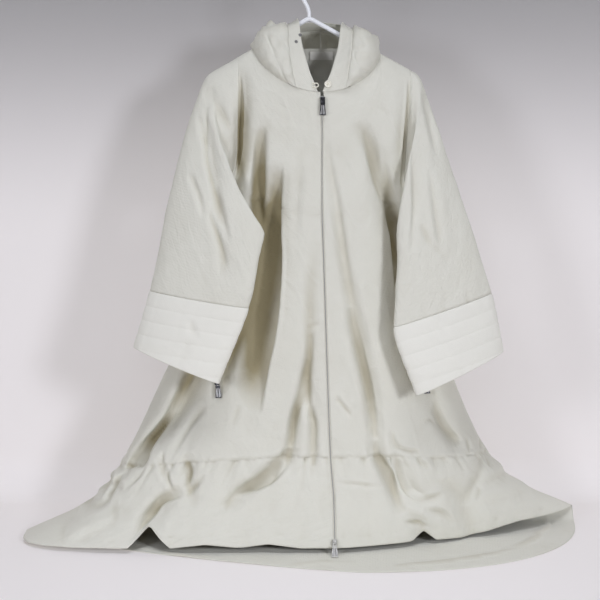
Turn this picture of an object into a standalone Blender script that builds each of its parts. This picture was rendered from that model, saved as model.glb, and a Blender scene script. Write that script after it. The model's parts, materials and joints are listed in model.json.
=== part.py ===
"""A hooded swing coat with a two-way front zip, hung on a moulded hanger.

X runs to the viewer's right, Y away from the viewer and Z up. The origin is the inner top of
the hanger's hook. Tables are in millimetres, and a "drop" is a distance below that origin.
Panels are named for the side the viewer sees them on.
"""
import math
from collections import namedtuple

import bmesh
import bpy
import numpy as np
from mathutils import Matrix, Vector
from mathutils.bvhtree import BVHTree

MM = 0.001
FLOOR_DROP = 1110.0
WALL = 1.5
CUFF_WALL = 2.4
SEAM_GAP = 0.5
HEM_SEAM_GAP = 1.6
LAY_GAP = 0.4

# Hanger
ARM_RADIUS = 4.5
HOOK_RADIUS = 4.0
HOOK_INNER_RADIUS = 20.0
JUNCTION = (-4.0, 78.0)
LEFT_TIP = (-196.0, 192.0)
RIGHT_TIP = (201.0, 189.0)
TIP_ROUND = 14.0
BAR_DROP = 234.0
BAR_ROUND = 9.0
TIP_LENGTH = BAR_DROP - 16.0
BAR_END = BAR_DROP - 15.6
ARM_CLEARANCE = 1.28

# How finely each surface is divided
FRONT_COLUMNS = 24
BACK_COLUMNS = 28
SLEEVE_SIDES = 22
TOP_STEPS = (0.0, 0.003, 0.011, 0.03, 0.07, 0.14, 0.24, 0.36, 0.5, 0.64, 0.76, 0.86, 0.935, 0.98)
FRONT_STEPS = (1.0, 1.33, 1.67, 2.0, 2.33, 2.67, 3.0, 3.3, 3.6, 3.85, 4.0, 4.2, 4.45, 4.7, 5.0, 5.3,
               5.65, 6.0)
BACK_STEPS = (1.0, 1.4, 1.8, 2.2, 2.6, 3.0, 3.4, 3.8, 4.2, 4.55, 4.8, 5.0, 5.2, 5.45, 5.7, 6.0)
SLEEVE_STEPS = (0.0, 0.05, 0.11, 0.18, 0.26, 0.34, 0.43, 0.52, 0.61, 0.70, 0.80)
CUFF_STEPS = (0.80, 0.87, 0.94, 1.0)
CUFF_SEAM_STEP = 0.0014
HOOD_STEPS = 17
HOOD_ACROSS = 8

# Front: one row for each level from the underarm to the hem
Level = namedtuple("Level", "name zip_x zip_y zip_drop left_x left_y left_drop left_full "
                            "right_x right_y right_drop right_full")
FRONT_LEVELS = (
    Level("underarm", 21, -78, 460, -170, 0, 410, 2.1, 201, 0, 440, 2.3),
    Level("waist", 27, -92, 625, -214, 0, 617, 1.8, 237, 10, 619, 1.9),
    Level("hip", 32, -105, 775, -292, 0, 778, 1.9, 288, 20, 790, 1.9),
    Level("drawcord", 38, -127, 930, -385, -10, 966, 2.5, 362, 30, 950, 2.1),
    Level("flounce", 44, -150, 1011, -452, -20, 1046, 3.0, 430, 35, 1020, 1.7),
    Level("hem", 46, -187, 1097, -577, -44, 1103, 4.2, 549, 53, 1080, 1.3))

# Back: it hangs to the table, then lies forward on it under the front hem
BackLevel = namedtuple("BackLevel", "name x y drop left_full right_full rise")
BACK_LEVELS = (
    BackLevel("underarm", 21, 64, 461, 2.1, 2.3, 1.5),
    BackLevel("waist", 22, 76, 622, 2.0, 2.0, 1.5),
    BackLevel("hip", 24, 88, 790, 2.0, 2.0, 1.5),
    BackLevel("drawcord", 26, 94, 965, 2.0, 2.0, 1.6),
    BackLevel("table", 34, 62, 1101, 1.8, 1.8, 3.0),
    BackLevel("hem", 100, -295, 1108.8, 1.25, 2.2, 26.0))

# Shoulders: where each armhole starts and how the neck sits between them
Side = namedtuple("Side", "name sign armhole_x armhole_low_x scoop_start neck_x neck_power neck_share")
LEFT = Side("left", -1, -143, -147, 0.70, -115, 1.5, 0.8)
RIGHT = Side("right", 1, 196, 183, 0.78, 135, 1.15, 0.72)
ZIP_TOP_DROP = 222.0
BACK_NECK_DROP = 137.0
CHEST_DEPTH = 62.0
BACK_DEPTH = 52.0
MIN_DEPTH = 9.0
SHOULDER_ROUND = 5.5
SHOULDER_SLOPE = 0.55
CHEST_WIDENING = 0.5
WIDENING_HEIGHT = 280.0
NECK_SEAM_LIFT = 2.8
NECK_SEAM_IN = 0.5

# Folds end this share of the row before the side seam, and go no deeper than this share of the body
SEAM_FADE = 0.14
DEEPEST_PUSH = 0.7

# Folds: a trough that follows its line down the cloth, pushed towards the inside.
# Each stop of a line is (drop, x, depth).
Fold = namedtuple("Fold", "name width line")
FRONT_FOLDS = (
    Fold("left armhole gap", 13,
         ((165, -143, 0), (237, -139, 14), (301, -140, 28),
          (360, -144, 27), (400, -152, 13), (440, -166, 0))),
    Fold("left chest", 10, ((270, -94, 0), (366, -100, 16), (444, -106, 20), (540, -112, 0))),
    Fold("left valley", 19,
         ((360, -66, 0), (430, -76, 24), (494, -88, 42), (625, -104, 48),
          (740, -116, 34), (850, -124, 8), (900, -126, 0))),
    Fold("left valley branch", 10, ((640, -124, 0), (722, -152, 20), (775, -170, 14), (840, -186, 0))),
    Fold("left pocket", 14, ((700, -200, 0), (790, -222, 12), (860, -236, 10), (930, -250, 0))),
    Fold("centre long", 9,
         ((500, 11, 0), (625, -3, 6), (712, -3, 9), (800, -9, 13),
          (860, -30, 15), (930, -38, 11), (975, -42, 0))),
    Fold("centre short", 8, ((780, 5, 0), (860, 2, 9), (930, 1, 9), (980, 0, 0))),
    Fold("right of zip", 10,
         ((340, 33, 0), (430, 47, 4), (508, 58, 7), (611, 77, 12),
          (722, 101, 17), (820, 121, 17), (898, 129, 12), (960, 134, 0))),
    Fold("right chest", 14, ((280, 108, 0), (378, 134, 18), (444, 150, 24), (520, 172, 20), (570, 180, 0))),
    Fold("right armhole gap", 13,
         ((185, 198, 0), (250, 194, 12), (320, 189, 20), (370, 186, 14), (410, 184, 5), (440, 184, 0))),
    Fold("right valley", 20,
         ((440, 176, 0), (508, 184, 34), (605, 190, 46), (700, 200, 40), (780, 214, 20), (850, 226, 0))),
    Fold("left side gap", 13,
         ((740, -232, 0), (800, -246, 22), (855, -264, 36),
          (911, -312, 36), (950, -352, 20), (985, -380, 0))),
    Fold("left diagonal", 13,
         ((915, -30, 0), (940, -62, 12), (973, -98, 17), (1010, -142, 12), (1040, -180, 0))),
    Fold("left short", 9, ((925, -243, 0), (965, -242, 11), (1000, -236, 9), (1030, -230, 0))),
    Fold("left hem fold", 15, ((985, -246, 0), (1020, -290, 14), (1060, -318, 26), (1110, -322, 34))),
    Fold("left gather a", 8, ((925, -316, 0), (950, -345, 8), (1000, -392, 12), (1035, -420, 0))),
    Fold("left gather b", 9, ((960, -385, 0), (1000, -425, 10), (1050, -470, 12), (1090, -500, 0))),
    Fold("right flounce a", 10, ((900, 117, 0), (945, 139, 15), (1000, 166, 13), (1045, 184, 0))),
    Fold("right flounce b", 10, ((920, 170, 0), (955, 178, 12), (995, 196, 13), (1020, 232, 0))),
    Fold("right flounce c", 10, ((925, 352, 0), (965, 345, 12), (1010, 325, 9), (1040, 310, 0))),
    Fold("right hip", 11, ((790, 230, 0), (850, 254, 14), (900, 280, 14), (950, 300, 0))),
    Fold("right hem dent", 13, ((1030, 180, 0), (1065, 208, 10), (1110, 222, 14))),
    Fold("right flank", 16, ((980, 260, 0), (1030, 300, 12), (1110, 330, 10))))
BACK_FOLDS = (
    Fold("back left armhole gap", 13,
         ((165, -143, 0), (260, -139, 12), (340, -142, 15), (400, -152, 6), (440, -166, 0))),
    Fold("back right armhole gap", 13,
         ((185, 198, 0), (260, 194, 8), (330, 189, 9), (400, 184, 3), (430, 184, 0))),
    Fold("back left outer", 18,
         ((420, -120, 0), (620, -160, 20), (850, -232, 34), (1000, -290, 28), (1095, -318, 0))),
    Fold("back left inner", 15,
         ((360, -60, 0), (600, -84, 14), (850, -126, 26), (1000, -160, 24), (1095, -176, 0))),
    Fold("back centre left", 13,
         ((520, -12, 0), (720, -30, 12), (900, -52, 22), (1010, -62, 20), (1095, -66, 0))),
    Fold("back centre right", 14,
         ((430, 46, 0), (680, 62, 14), (880, 76, 24), (1010, 88, 20), (1095, 94, 0))),
    Fold("back right inner", 15,
         ((380, 104, 0), (600, 124, 16), (850, 164, 26), (1000, 190, 24), (1095, 204, 0))),
    Fold("back right outer", 18,
         ((430, 150, 0), (620, 190, 20), (850, 246, 32), (1000, 286, 26), (1095, 310, 0))))

# Hem: how far each stretch of the front hem is lifted off the table
Lift = namedtuple("Lift", "name x rise width")
HEM_LIFTS = (
    Lift("left peak", -315, 34, 17),
    Lift("left trough", -205, 7, 30),
    Lift("left middle", -84, 8, 26),
    Lift("right peak", 223, 16, 14),
    Lift("right trough", 400, 4, 40))

# Sleeves: outer is the line over the hanger's tip, inner the line from the underarm. Lean turns
# a ring's flat side about Z, in degrees, and tuck draws its back wall out from under the front one.
Ring = namedtuple("Ring", "t outer_x outer_y outer_drop inner_x inner_y inner_drop half_depth lean tuck")
LEFT_SLEEVE = (
    Ring(0.00, -143, 0, 0, -170, 0, 410, 40, 0, 1),
    Ring(0.05, -158, 0, 0, -178, -12, 411, 39, 33, 1.7),
    Ring(0.11, -178, 0, 0, -177, -38, 429, 38, 46, 2.4),
    Ring(0.18, -205, 0, 184, -158, -66, 452, 32, 40, 3.2),
    Ring(0.27, -224, -6, 232, -124, -87, 473, 28, 34, 4.4),
    Ring(0.38, -248, -20, 306, -91, -101, 494, 24, 20, 4.0),
    Ring(0.52, -274, -35, 403, -100, -112, 532, 22, 4, 1.8),
    Ring(0.67, -300, -48, 530, -110, -118, 582, 22, 0, 1.2),
    Ring(0.80, -318, -60, 611, -122, -124, 636, 22, 0, 1),
    Ring(1.00, -351, -70, 722, -180, -134, 782, 24, 0, 1))
RIGHT_SLEEVE = (
    Ring(0.00, 196, 0, 0, 201, 0, 440, 40, 0, 1),
    Ring(0.05, 204, 0, 0, 210, -18, 439, 39, 26, 1),
    Ring(0.11, 213, -1, 190, 208, -40, 451, 38, 40, 2.1),
    Ring(0.20, 223, -5, 216, 184, -77, 469, 33, 38, 3.7),
    Ring(0.32, 243, -14, 270, 168, -91, 499, 29, 21, 3.1),
    Ring(0.46, 270, -28, 352, 168, -106, 545, 25, 4, 1.6),
    Ring(0.62, 306, -42, 462, 164, -114, 605, 23, 0, 1.1),
    Ring(0.80, 357, -55, 616, 160, -122, 674, 22, 0, 1),
    Ring(1.00, 382, -62, 732, 204, -134, 806, 24, 0, 1))
SLEEVE_HEAD = 0.17
EDGE_CROWDING = 0.4
ARMHOLE_GAP = 1.0
UNDERARM_GAP = 1.3
SLEEVE_FOLDS = {
    "left": (
        Fold("left sleeve long", 8,
             ((190, -207, 0), (260, -206, 7), (340, -196, 8), (430, -182, 5), (480, -172, 0))),
        Fold("left sleeve upper", 9, ((195, -196, 0), (250, -176, 9), (310, -160, 6), (350, -154, 0))),
        Fold("left sleeve lower", 9, ((400, -200, 0), (460, -186, 6), (540, -172, 5), (590, -166, 0)))),
    "right": (
        Fold("right sleeve long", 10, ((300, 212, 0), (380, 212, 6), (480, 216, 5), (560, 224, 0))),
        Fold("right sleeve upper", 9, ((210, 226, 0), (260, 232, 5), (330, 244, 4), (380, 252, 0))))}

# Hood: each row runs from the neck seam to the band's seam, by way of two pulls
HoodRow = namedtuple("HoodRow", "a neck_angle edge_x edge_y edge_drop rise_x rise_y rise sag_x sag_y sag")
HOOD_ROWS = (
    HoodRow(0.00, 31, -31, -55, 211, 5, -3, -1, -5, -3, 1),
    HoodRow(0.16, 46, -38, -52, 174, -4, -14, 12, -12, -10, -2),
    HoodRow(0.32, 62, -44, -38, 128, -8, -16, 26, -22, -12, 6),
    HoodRow(0.46, 84, -46, -14, 95, -4, -8, 30, -26, -6, 14),
    HoodRow(0.58, 106, -47, 22, 90, -4, 20, 20, -22, 10, 10),
    HoodRow(0.72, 132, -42, 62, 98, -12, 46, 8, -26, 40, -90),
    HoodRow(0.86, 160, -20, 88, 100, -8, 58, 6, -12, 52, -190),
    HoodRow(1.00, 180, 20, 96, 98, 0, 60, 5, 0, 56, -232))
BandRow = namedtuple("BandRow", "a width in_x back rise")
BAND_ROWS = (
    BandRow(0.00, 44, 1.0, -0.03, -0.18),
    BandRow(0.16, 34, 1.0, 0.15, -0.12),
    BandRow(0.32, 28, 0.9, 0.45, 0.15),
    BandRow(0.58, 24, 0.8, 0.10, 0.50),
    BandRow(1.00, 22, 0.0, -0.75, 0.65))
HOOD_CENTRE_X = 20.0
HOOD_SEAM_HALF_GAP = 0.8
RIGHT_HOOD_SCALE = 0.93
RIGHT_HOOD_DROP = 9.0
RIGHT_BAND_SCALE = 1.06

# Zips: a closed chain down the front, and a strip for each pocket
ZIP_TOP_STEP = 0.055
ZIP_FOOT_STEP = 5.93
CHAIN_WIDTH = 5.0
CHAIN_THICKNESS = 1.6
ZipStrip = namedtuple("ZipStrip", "name panel top_x top_drop foot_x foot_drop")
POCKET_ZIPS = (
    ZipStrip("pocket_zip_left", "front_left", -172, 655, -187, 783),
    ZipStrip("pocket_zip_right", "front_right", 212, 652, 228, 780))
RAY_START_Y = -600.0
STRIP_WIDTH = 6.0
STRIP_THICKNESS = 1.4
STRIP_STEPS = 16
STRIP_GAP = 0.7

# Sliders and their pulls: the pin lies in front of the slider's body, between two lugs
SLIDER_WIDTH = 9.0
SLIDER_THICKNESS = 4.2
SLIDER_LENGTH = 13.0
PIN_RADIUS = 1.0
PIN_OUT = 5.0
LUG_THICKNESS = 1.6
LUG_SPAN = 6.8
LUG_HEIGHT = 2.4
KNUCKLE_RADIUS = 2.4
KNUCKLE_HOLE = 1.4
KNUCKLE_WIDTH = 4.4
TAB_LENGTH = 32.0
TAB_TOP_WIDTH = 8.0
TAB_FOOT_WIDTH = 13.0
TAB_THICKNESS = 2.2

# lift is the slider body's distance from what it lies on, pin its pin's place along the body,
# and lean how far the pull's foot at least stands forward of hanging straight down, in degrees
Slider = namedtuple("Slider", "name pull carrier x drop lift pin lean")
SLIDERS = (
    Slider("slider_top", "pull_top", "zip_chain", 22.2, 238, 0.5, 3.0, 1),
    Slider("slider_bottom", "pull_bottom", "zip_chain", 45.0, 1087, 0.5, 0.0, 46),
    Slider("pocket_slider_left", "pocket_pull_left", "front_left", -188, 791, 0.7, 0.0, 1),
    Slider("pocket_slider_right", "pocket_pull_right", "front_right", 229, 788, 0.7, 0.0, 1))
PULL_GAP = 1.8

# Collar button with its loop, and the bare label inside the back neck
BUTTON_DIAMETER = 14.0
BUTTON_THICKNESS = 2.6
BUTTON_PLACE = (32.0, 207.0)
LOOP_RADIUS = 1.1
LOOP_PLACE = (6.0, 209.0)
LOOP_REACH = 8.0
LOOP_HALF_HEIGHT = 3.6
LABEL_WIDTH = 46.0
LABEL_HEIGHT = 16.0
LABEL_THICKNESS = 1.0
LABEL_TOP_DROP = 142.0

COLOURS = {
    "cloth": ((0.72, 0.70, 0.60), 0.75, 0.0),
    "cuff": ((0.78, 0.77, 0.69), 0.72, 0.0),
    "hanger": ((0.86, 0.87, 0.88), 0.35, 0.0),
    "zip": ((0.55, 0.55, 0.52), 0.45, 0.3),
    "metal": ((0.16, 0.16, 0.17), 0.35, 0.9),
    "button": ((0.80, 0.77, 0.66), 0.30, 0.0),
    "label": ((0.80, 0.78, 0.70), 0.70, 0.0)}


def clear_scene():
    """Empty the file so that only this object is in it."""
    for obj in list(bpy.data.objects):
        bpy.data.objects.remove(obj, do_unlink=True)


def make_material(name):
    colour, roughness, metallic = COLOURS[name]
    material = bpy.data.materials.get(name) or bpy.data.materials.new(name)
    material.use_nodes = True
    shader = material.node_tree.nodes["Principled BSDF"]
    shader.inputs["Base Color"].default_value = (*colour, 1.0)
    shader.inputs["Roughness"].default_value = roughness
    shader.inputs["Metallic"].default_value = metallic
    return material


def smooth_through(knots, values, at):
    """A cubic through the values at the knots that never overshoots them."""
    knots = np.asarray(knots, float)
    values = np.asarray(values, float).reshape(len(knots), -1)
    at = np.clip(np.asarray(at, float), knots[0], knots[-1])
    step = np.diff(knots)[:, None]
    slope = np.diff(values, axis=0) / step
    turn = slope[:-1] * slope[1:]
    total = slope[:-1] + slope[1:]
    inner = np.where(turn > 0, 2 * turn / np.where(turn > 0, total, 1), 0)
    tangent = np.concatenate([slope[:1], inner, slope[-1:]])
    i = np.clip(np.searchsorted(knots, at, side="right") - 1, 0, len(knots) - 2)
    s = ((at - knots[i]) / step[i, 0])[..., None]
    h = step[i]
    out = ((2 * s**3 - 3 * s**2 + 1) * values[i] + (s**3 - 2 * s**2 + s) * h * tangent[i]
           + (3 * s**2 - 2 * s**3) * values[i + 1] + (s**3 - s**2) * h * tangent[i + 1])
    return out


def ease(t):
    """0 to 1 with flat ends."""
    t = np.clip(t, 0, 1)
    return t * t * (3 - 2 * t)


def column(rows, name):
    return [getattr(row, name) for row in rows]


def arm_drop(x):
    """Drop of the hanger arm's centre line at x."""
    left = JUNCTION[1] + (JUNCTION[0] - x) * (LEFT_TIP[1] - JUNCTION[1]) / (JUNCTION[0] - LEFT_TIP[0])
    right = JUNCTION[1] + (x - JUNCTION[0]) * (RIGHT_TIP[1] - JUNCTION[1]) / (RIGHT_TIP[0] - JUNCTION[0])
    return np.maximum(left, right)


def ridge_drop(x):
    """Drop of the cloth's middle where it lies over the arm."""
    return arm_drop(x) - ARM_RADIUS * ARM_CLEARANCE - LAY_GAP - WALL / 2


def fold_depth(folds, x, drop):
    """Sum of the folds' depths at each point: a bell across each fold's line."""
    total = np.zeros_like(x)
    for fold in folds:
        line = np.array(fold.line, float)
        place = smooth_through(line[:, 0], line[:, 1:], drop)
        depth = np.where((drop > line[0, 0]) & (drop < line[-1, 0] + 1), place[..., 1], 0)
        total += depth * np.exp(-0.5 * ((x - place[..., 0]) / fold.width) ** 2)
    return total


def armhole_edge(side, g):
    """x and drop of the armhole seam, from the shoulder (g = 0) to the underarm (g = 1)."""
    level = FRONT_LEVELS[0]
    under_x, under_drop = ((level.left_x, level.left_drop) if side.sign < 0
                           else (level.right_x, level.right_drop))
    top = ridge_drop(np.array(float(side.armhole_x)))
    drop = top + (under_drop - top) * g
    line_x = side.armhole_x + (side.armhole_low_x - side.armhole_x) * ease(g)
    reach = np.clip((g - side.scoop_start) / (1 - side.scoop_start), 0, 1)
    return line_x + (under_x - line_x) * (1 - np.sqrt(1 - reach**2)), drop


def upper_depth(x, drop, depth, full, centre_x):
    """Depth of the body above the underarm: round over the arm, then out to the chest."""
    d = np.maximum(drop - ridge_drop(x), 0)
    over = np.sqrt(2 * SHOULDER_ROUND * d + (SHOULDER_SLOPE * d) ** 2)
    under = FRONT_LEVELS[0]
    half = np.where(x < centre_x, centre_x - under.left_x, under.right_x - centre_x)
    widen = 1 + CHEST_WIDENING * np.clip((under.zip_drop - drop) / WIDENING_HEIGHT, 0, 1)
    q = np.clip(np.abs(x - centre_x) / (half * widen), 0, 1)
    across = (1 - q**full) ** (1 / full)
    reach = np.maximum(depth * across, MIN_DEPTH)
    return reach * np.tanh(over / reach)


def top_edge(side, c, front):
    """x and drop of the top edge: the neck, then the shoulder to the armhole."""
    share = side.neck_share
    centre = FRONT_LEVELS[0].zip_x
    angle = np.clip(c / share, 0, 1) * math.pi / 2
    low = ZIP_TOP_DROP if front else BACK_NECK_DROP
    shoulder = ridge_drop(np.array(float(side.neck_x)))
    x_neck = centre + (side.neck_x - centre) * np.sin(angle)
    power = side.neck_power if front else 1.0
    drop_neck = shoulder + (low - shoulder) * np.clip(np.cos(angle), 0, 1) ** power
    out = np.clip((c - share) / (1 - share), 0, 1)
    x = np.where(c <= share, x_neck, side.neck_x + (side.armhole_x - side.neck_x) * out)
    drop = np.where(c <= share, drop_neck, ridge_drop(x))
    return x, drop


def side_seam(side, g):
    """Side seam point for levels 1 (underarm) to 6 (hem)."""
    names = [f"{side.name}_{axis}" for axis in ("x", "y", "drop")]
    table = np.array([column(FRONT_LEVELS, name) for name in names]).T
    return smooth_through(range(1, len(FRONT_LEVELS) + 1), table, g)


def section(side, g, c, front):
    """One row of a panel below the underarm, evenly spaced along the cloth.

    A superellipse runs from the centre to the side seam, so it leaves the seam square to it.
    """
    rows = FRONT_LEVELS if front else BACK_LEVELS
    stops = range(1, len(rows) + 1)
    centre_names = ("zip_x", "zip_y", "zip_drop") if front else ("x", "y", "drop")
    centre = smooth_through(stops, np.array([column(rows, n) for n in centre_names]).T, g)
    seam = side_seam(side, g)
    full = float(smooth_through(stops, column(rows, f"{side.name}_full"), g)[0])
    rise = 0.0 if front else float(smooth_through(stops, column(rows, "rise"), g)[0])
    angle = np.linspace(0, math.pi / 2, 400)
    q = np.sin(angle) ** (2 / full)
    out = np.cos(angle) ** (2 / full)
    out[-1] = 0.0
    x = centre[0] + (seam[0] - centre[0]) * q
    y = seam[1] + (centre[1] - seam[1]) * out
    drop = centre[2] + (seam[2] - centre[2]) * (q**2 if front else (1 - out) ** rise)
    run = np.concatenate([[0], np.cumsum(np.hypot(np.hypot(np.diff(x), np.diff(y)), np.diff(drop)))])
    at = np.interp(c * run[-1], run, np.arange(len(run)))
    index = np.arange(len(run))
    return np.stack([np.interp(at, index, x), np.interp(at, index, y), np.interp(at, index, drop)], axis=-1)


def body_panel(side, front, c, levels):
    """Grid of points in millimetres (x, y, drop): columns c from the centre to the side."""
    c = np.asarray(c, float)
    rows = []
    under = section(side, 1.0, c, front)
    top_x, top_drop = top_edge(side, c, front)
    depth = CHEST_DEPTH if front else BACK_DEPTH
    under_x = side_seam(side, 1.0)[0]
    full = (FRONT_LEVELS[0].left_full, FRONT_LEVELS[0].right_full)[side.sign > 0]
    for g in levels:
        if g >= 1:
            rows.append(section(side, g, c, front))
            continue
        edge_x, edge_drop = armhole_edge(side, g)
        centre = FRONT_LEVELS[0].zip_x
        even = centre + (edge_x - centre) * c
        square = centre + (edge_x - centre) * (under[:, 0] - centre) / (under_x - centre)
        row_x = even + (square - even) * g**4
        settle = ease(g / 0.5)
        x = top_x + (row_x - top_x) * settle
        x = np.where(c > 0.999, edge_x, x)
        drop = top_drop + (under[:, 2] - top_drop) * g
        y = upper_depth(x, drop, depth, full, centre)
        y = y * (-1 if front else 1)
        near = ease((g - 0.45) / 0.55)
        y = y + (np.interp(np.abs(x - centre), np.abs(under[:, 0] - centre), under[:, 1]) - y) * near
        rows.append(np.stack([x, y, drop], axis=-1))
    return np.array(rows)


def with_folds(grid, front, levels, c):
    """Push the folds in, and lift the front hem off the table.

    The folds run out towards the side seam below the armhole, so both panels meet there.
    """
    x, y, drop = grid[..., 0], grid[..., 1], grid[..., 2]
    below = ease((np.asarray(levels, float) - 0.75) / 0.25)[:, None]
    near_seam = 1 - ease((1 - np.asarray(c, float)) / SEAM_FADE)
    push = fold_depth(FRONT_FOLDS if front else BACK_FOLDS, x, drop) * (1 - below * near_seam)
    seam_y = np.array([[side_seam(side, max(g, 1.0))[1] for side in (LEFT, RIGHT)] for g in levels])
    seam_y = np.where(x < FRONT_LEVELS[0].zip_x, seam_y[:, :1], seam_y[:, 1:])
    push = np.minimum(push, DEEPEST_PUSH * np.abs(y - seam_y))
    y = y + (push if front else -push)
    if front:
        near_hem = np.clip((np.asarray(levels, float) - 5.0), 0, 1)[:, None] ** 1.5
        lift = sum(row.rise * np.exp(-0.5 * ((x - row.x) / row.width) ** 2) for row in HEM_LIFTS)
        drop = drop - lift * near_hem
    drop = np.minimum(drop, FLOOR_DROP - WALL / 2 - LAY_GAP)
    return np.stack([x, y, drop], axis=-1)


def to_world(grid):
    """Millimetres (x, y, drop) to metres (X, Y, Z)."""
    out = np.array(grid, float) * MM
    out[..., 2] *= -1
    return out


def grid_mesh(name, points, wrap=False):
    """Mesh of quads over a grid of world points. wrap joins the last column to the first."""
    rows, cols = points.shape[:2]
    index = np.arange(rows * cols).reshape(rows, cols)
    right = np.roll(index, -1, axis=1) if wrap else index[:, 1:]
    left = index if wrap else index[:, :-1]
    faces = np.stack([left[:-1], right[:-1], right[1:], left[1:]], axis=-1).reshape(-1, 4)
    mesh = bpy.data.meshes.new(name)
    mesh.from_pydata(points.reshape(-1, 3).tolist(), [], faces.tolist())
    mesh.update()
    return mesh


def add_object(name, mesh, material, parent=None):
    obj = bpy.data.objects.new(name, mesh)
    mesh.materials.clear()
    mesh.materials.append(make_material(material))
    PARTS.objects.link(obj)
    if parent:
        obj.parent = parent
    return obj


def add_wall(obj, thickness):
    """Give an open surface its cloth thickness, half to each side."""
    wall = obj.modifiers.new("Wall", "SOLIDIFY")
    wall.thickness = thickness * MM
    wall.offset = 0.0
    wall.use_even_offset = False
    wall.use_quality_normals = True
    obj.data.shade_smooth()
    return obj


def trim_columns(columns, start_gap, end_gap, width):
    """Column shares from start to end with the seam gaps left out at both ends."""
    c = np.linspace(0, 1, columns + 1)
    return start_gap / width + c * (1 - (start_gap + end_gap) / width)


def row_length(side, front, g):
    whole = body_panel(side, front, np.linspace(0, 1, 60), [g])[0]
    return float(np.sum(np.linalg.norm(np.diff(whole, axis=0), axis=1)))


def seam_half_gap(g):
    """The seam opens a little towards the hem, where front and back meet at a sharper angle."""
    return SEAM_GAP + max(0.0, g - 4) * HEM_SEAM_GAP


def panel_columns(side, front, g):
    """Column shares of one row, clear of the zip in front and of the side seam."""
    start = CHAIN_WIDTH / 2 + SEAM_GAP if front else 0
    columns = FRONT_COLUMNS if front else BACK_COLUMNS // 2
    return trim_columns(columns, start, seam_half_gap(g), row_length(side, front, g))


def make_front(side):
    levels = TOP_STEPS + FRONT_STEPS
    rows = []
    shares = []
    for g in levels:
        c = panel_columns(side, True, g)
        rows.append(body_panel(side, True, c, [g])[0])
        shares.append(c)
    grid = with_folds(np.array(rows), True, levels, np.array(shares))
    if side.sign < 0:
        grid = grid[:, ::-1]
    mesh = grid_mesh(f"front_{side.name}", to_world(grid))
    return add_wall(add_object(f"front_{side.name}", mesh, "cloth"), WALL)


def make_back():
    levels = TOP_STEPS + BACK_STEPS
    rows = []
    shares = []
    for g in levels:
        halves = []
        for side in (LEFT, RIGHT):
            c = panel_columns(side, False, g)
            halves.append(np.column_stack([body_panel(side, False, c, [g])[0], c]))
        row = np.concatenate([halves[1][::-1], halves[0][1:]])
        rows.append(row[:, :3])
        shares.append(row[:, 3])
    grid = with_folds(np.array(rows), False, levels, np.array(shares))
    grid[0, :, 1] += SEAM_GAP + WALL / 2
    mesh = grid_mesh("back", to_world(grid))
    return add_wall(add_object("back", mesh, "cloth"), WALL)


def armhole_line(side, front):
    """Edge points of a panel beside the sleeve, one for each of its rows."""
    line = []
    for g in TOP_STEPS + (1.0,):
        c = panel_columns(side, front, g)
        line.append(with_folds(body_panel(side, front, c, [g]), front, [g], c)[0, -1])
    return np.array(line)


def sleeve_rings(side, steps, sides):
    """Rings from the armhole to the cuff: an ellipse between the outer and the inner line."""
    table = LEFT_SLEEVE if side.sign < 0 else RIGHT_SLEEVE
    stops = column(table, "t")
    lines = np.array([column(table, name) for name in Ring._fields[1:]], float).T
    for row in lines:
        if abs(row[1]) < 1:
            row[2] = max(row[2], float(ridge_drop(np.array(row[0]))))
    even = np.arange(sides) / sides * 2 * math.pi
    turn = even - EDGE_CROWDING * np.sin(even)
    inward = (1 - np.cos(turn)) / 2
    edges = {front: armhole_line(side, front) for front in (True, False)}
    rows = TOP_STEPS + (1.0,)
    armhole = np.array([[np.interp(share, rows, edges[angle <= math.pi][:, k]) for k in range(3)]
                        for angle, share in zip(turn, inward)])
    armhole[:, 0] += side.sign * (ARMHOLE_GAP + UNDERARM_GAP * inward**3)
    armhole[np.argmin(inward), 1] = 0.0
    armhole[np.argmax(inward), 1] = 0.0
    rings = []
    for t in steps:
        ox, oy, od, ix, iy, drop, half, lean, tuck = smooth_through(stops, lines, t)
        across = np.where(np.sin(turn) < 0, inward**tuck, inward)
        outer = np.array([ox, oy, od])
        inner = np.array([ix, iy, drop])
        ring = outer + (inner - outer) * np.stack([across, inward, inward], axis=-1)
        ring[:, 0] -= side.sign * half * np.sin(turn) * math.sin(math.radians(lean)) * inward
        ring[:, 1] -= half * np.sin(turn) * math.cos(math.radians(lean))
        ring = armhole + (ring - armhole) * ease(t / SLEEVE_HEAD)
        rings.append(ring)
    grid = np.array(rings)
    push = fold_depth(SLEEVE_FOLDS[side.name], grid[..., 0], grid[..., 2])
    on_front = np.clip(np.sin(turn), 0, 1)
    start = ease(np.asarray(steps) / SLEEVE_HEAD)[:, None]
    grid[..., 1] += push * on_front * start
    return grid


def make_sleeve(side):
    grid = sleeve_rings(side, SLEEVE_STEPS, SLEEVE_SIDES)
    order = grid if side.sign < 0 else grid[:, ::-1]
    mesh = grid_mesh(f"sleeve_{side.name}", to_world(order), wrap=True)
    return add_wall(add_object(f"sleeve_{side.name}", mesh, "cloth"), WALL)


def make_cuff(side):
    """The deep cuff: it goes on from the sleeve's last ring with a thicker, stiffer wall."""
    steps = np.array(CUFF_STEPS)
    steps[0] += CUFF_SEAM_STEP
    grid = sleeve_rings(side, steps, SLEEVE_SIDES)
    order = grid if side.sign < 0 else grid[:, ::-1]
    mesh = grid_mesh(f"cuff_{side.name}", to_world(order), wrap=True)
    return add_wall(add_object(f"cuff_{side.name}", mesh, "cuff"), CUFF_WALL)


def neck_point(side, angle_deg):
    """Point on the neck seam: 0 at the zip, 90 at the shoulder, 180 at the centre back."""
    front = angle_deg <= 90
    c = side.neck_share * (angle_deg / 90 if front else (180 - angle_deg) / 90)
    point = body_panel(side, front, [c], [0.0])[0, 0]
    return point + np.array([0.0, NECK_SEAM_IN if front else -NECK_SEAM_IN, -NECK_SEAM_LIFT])


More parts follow.
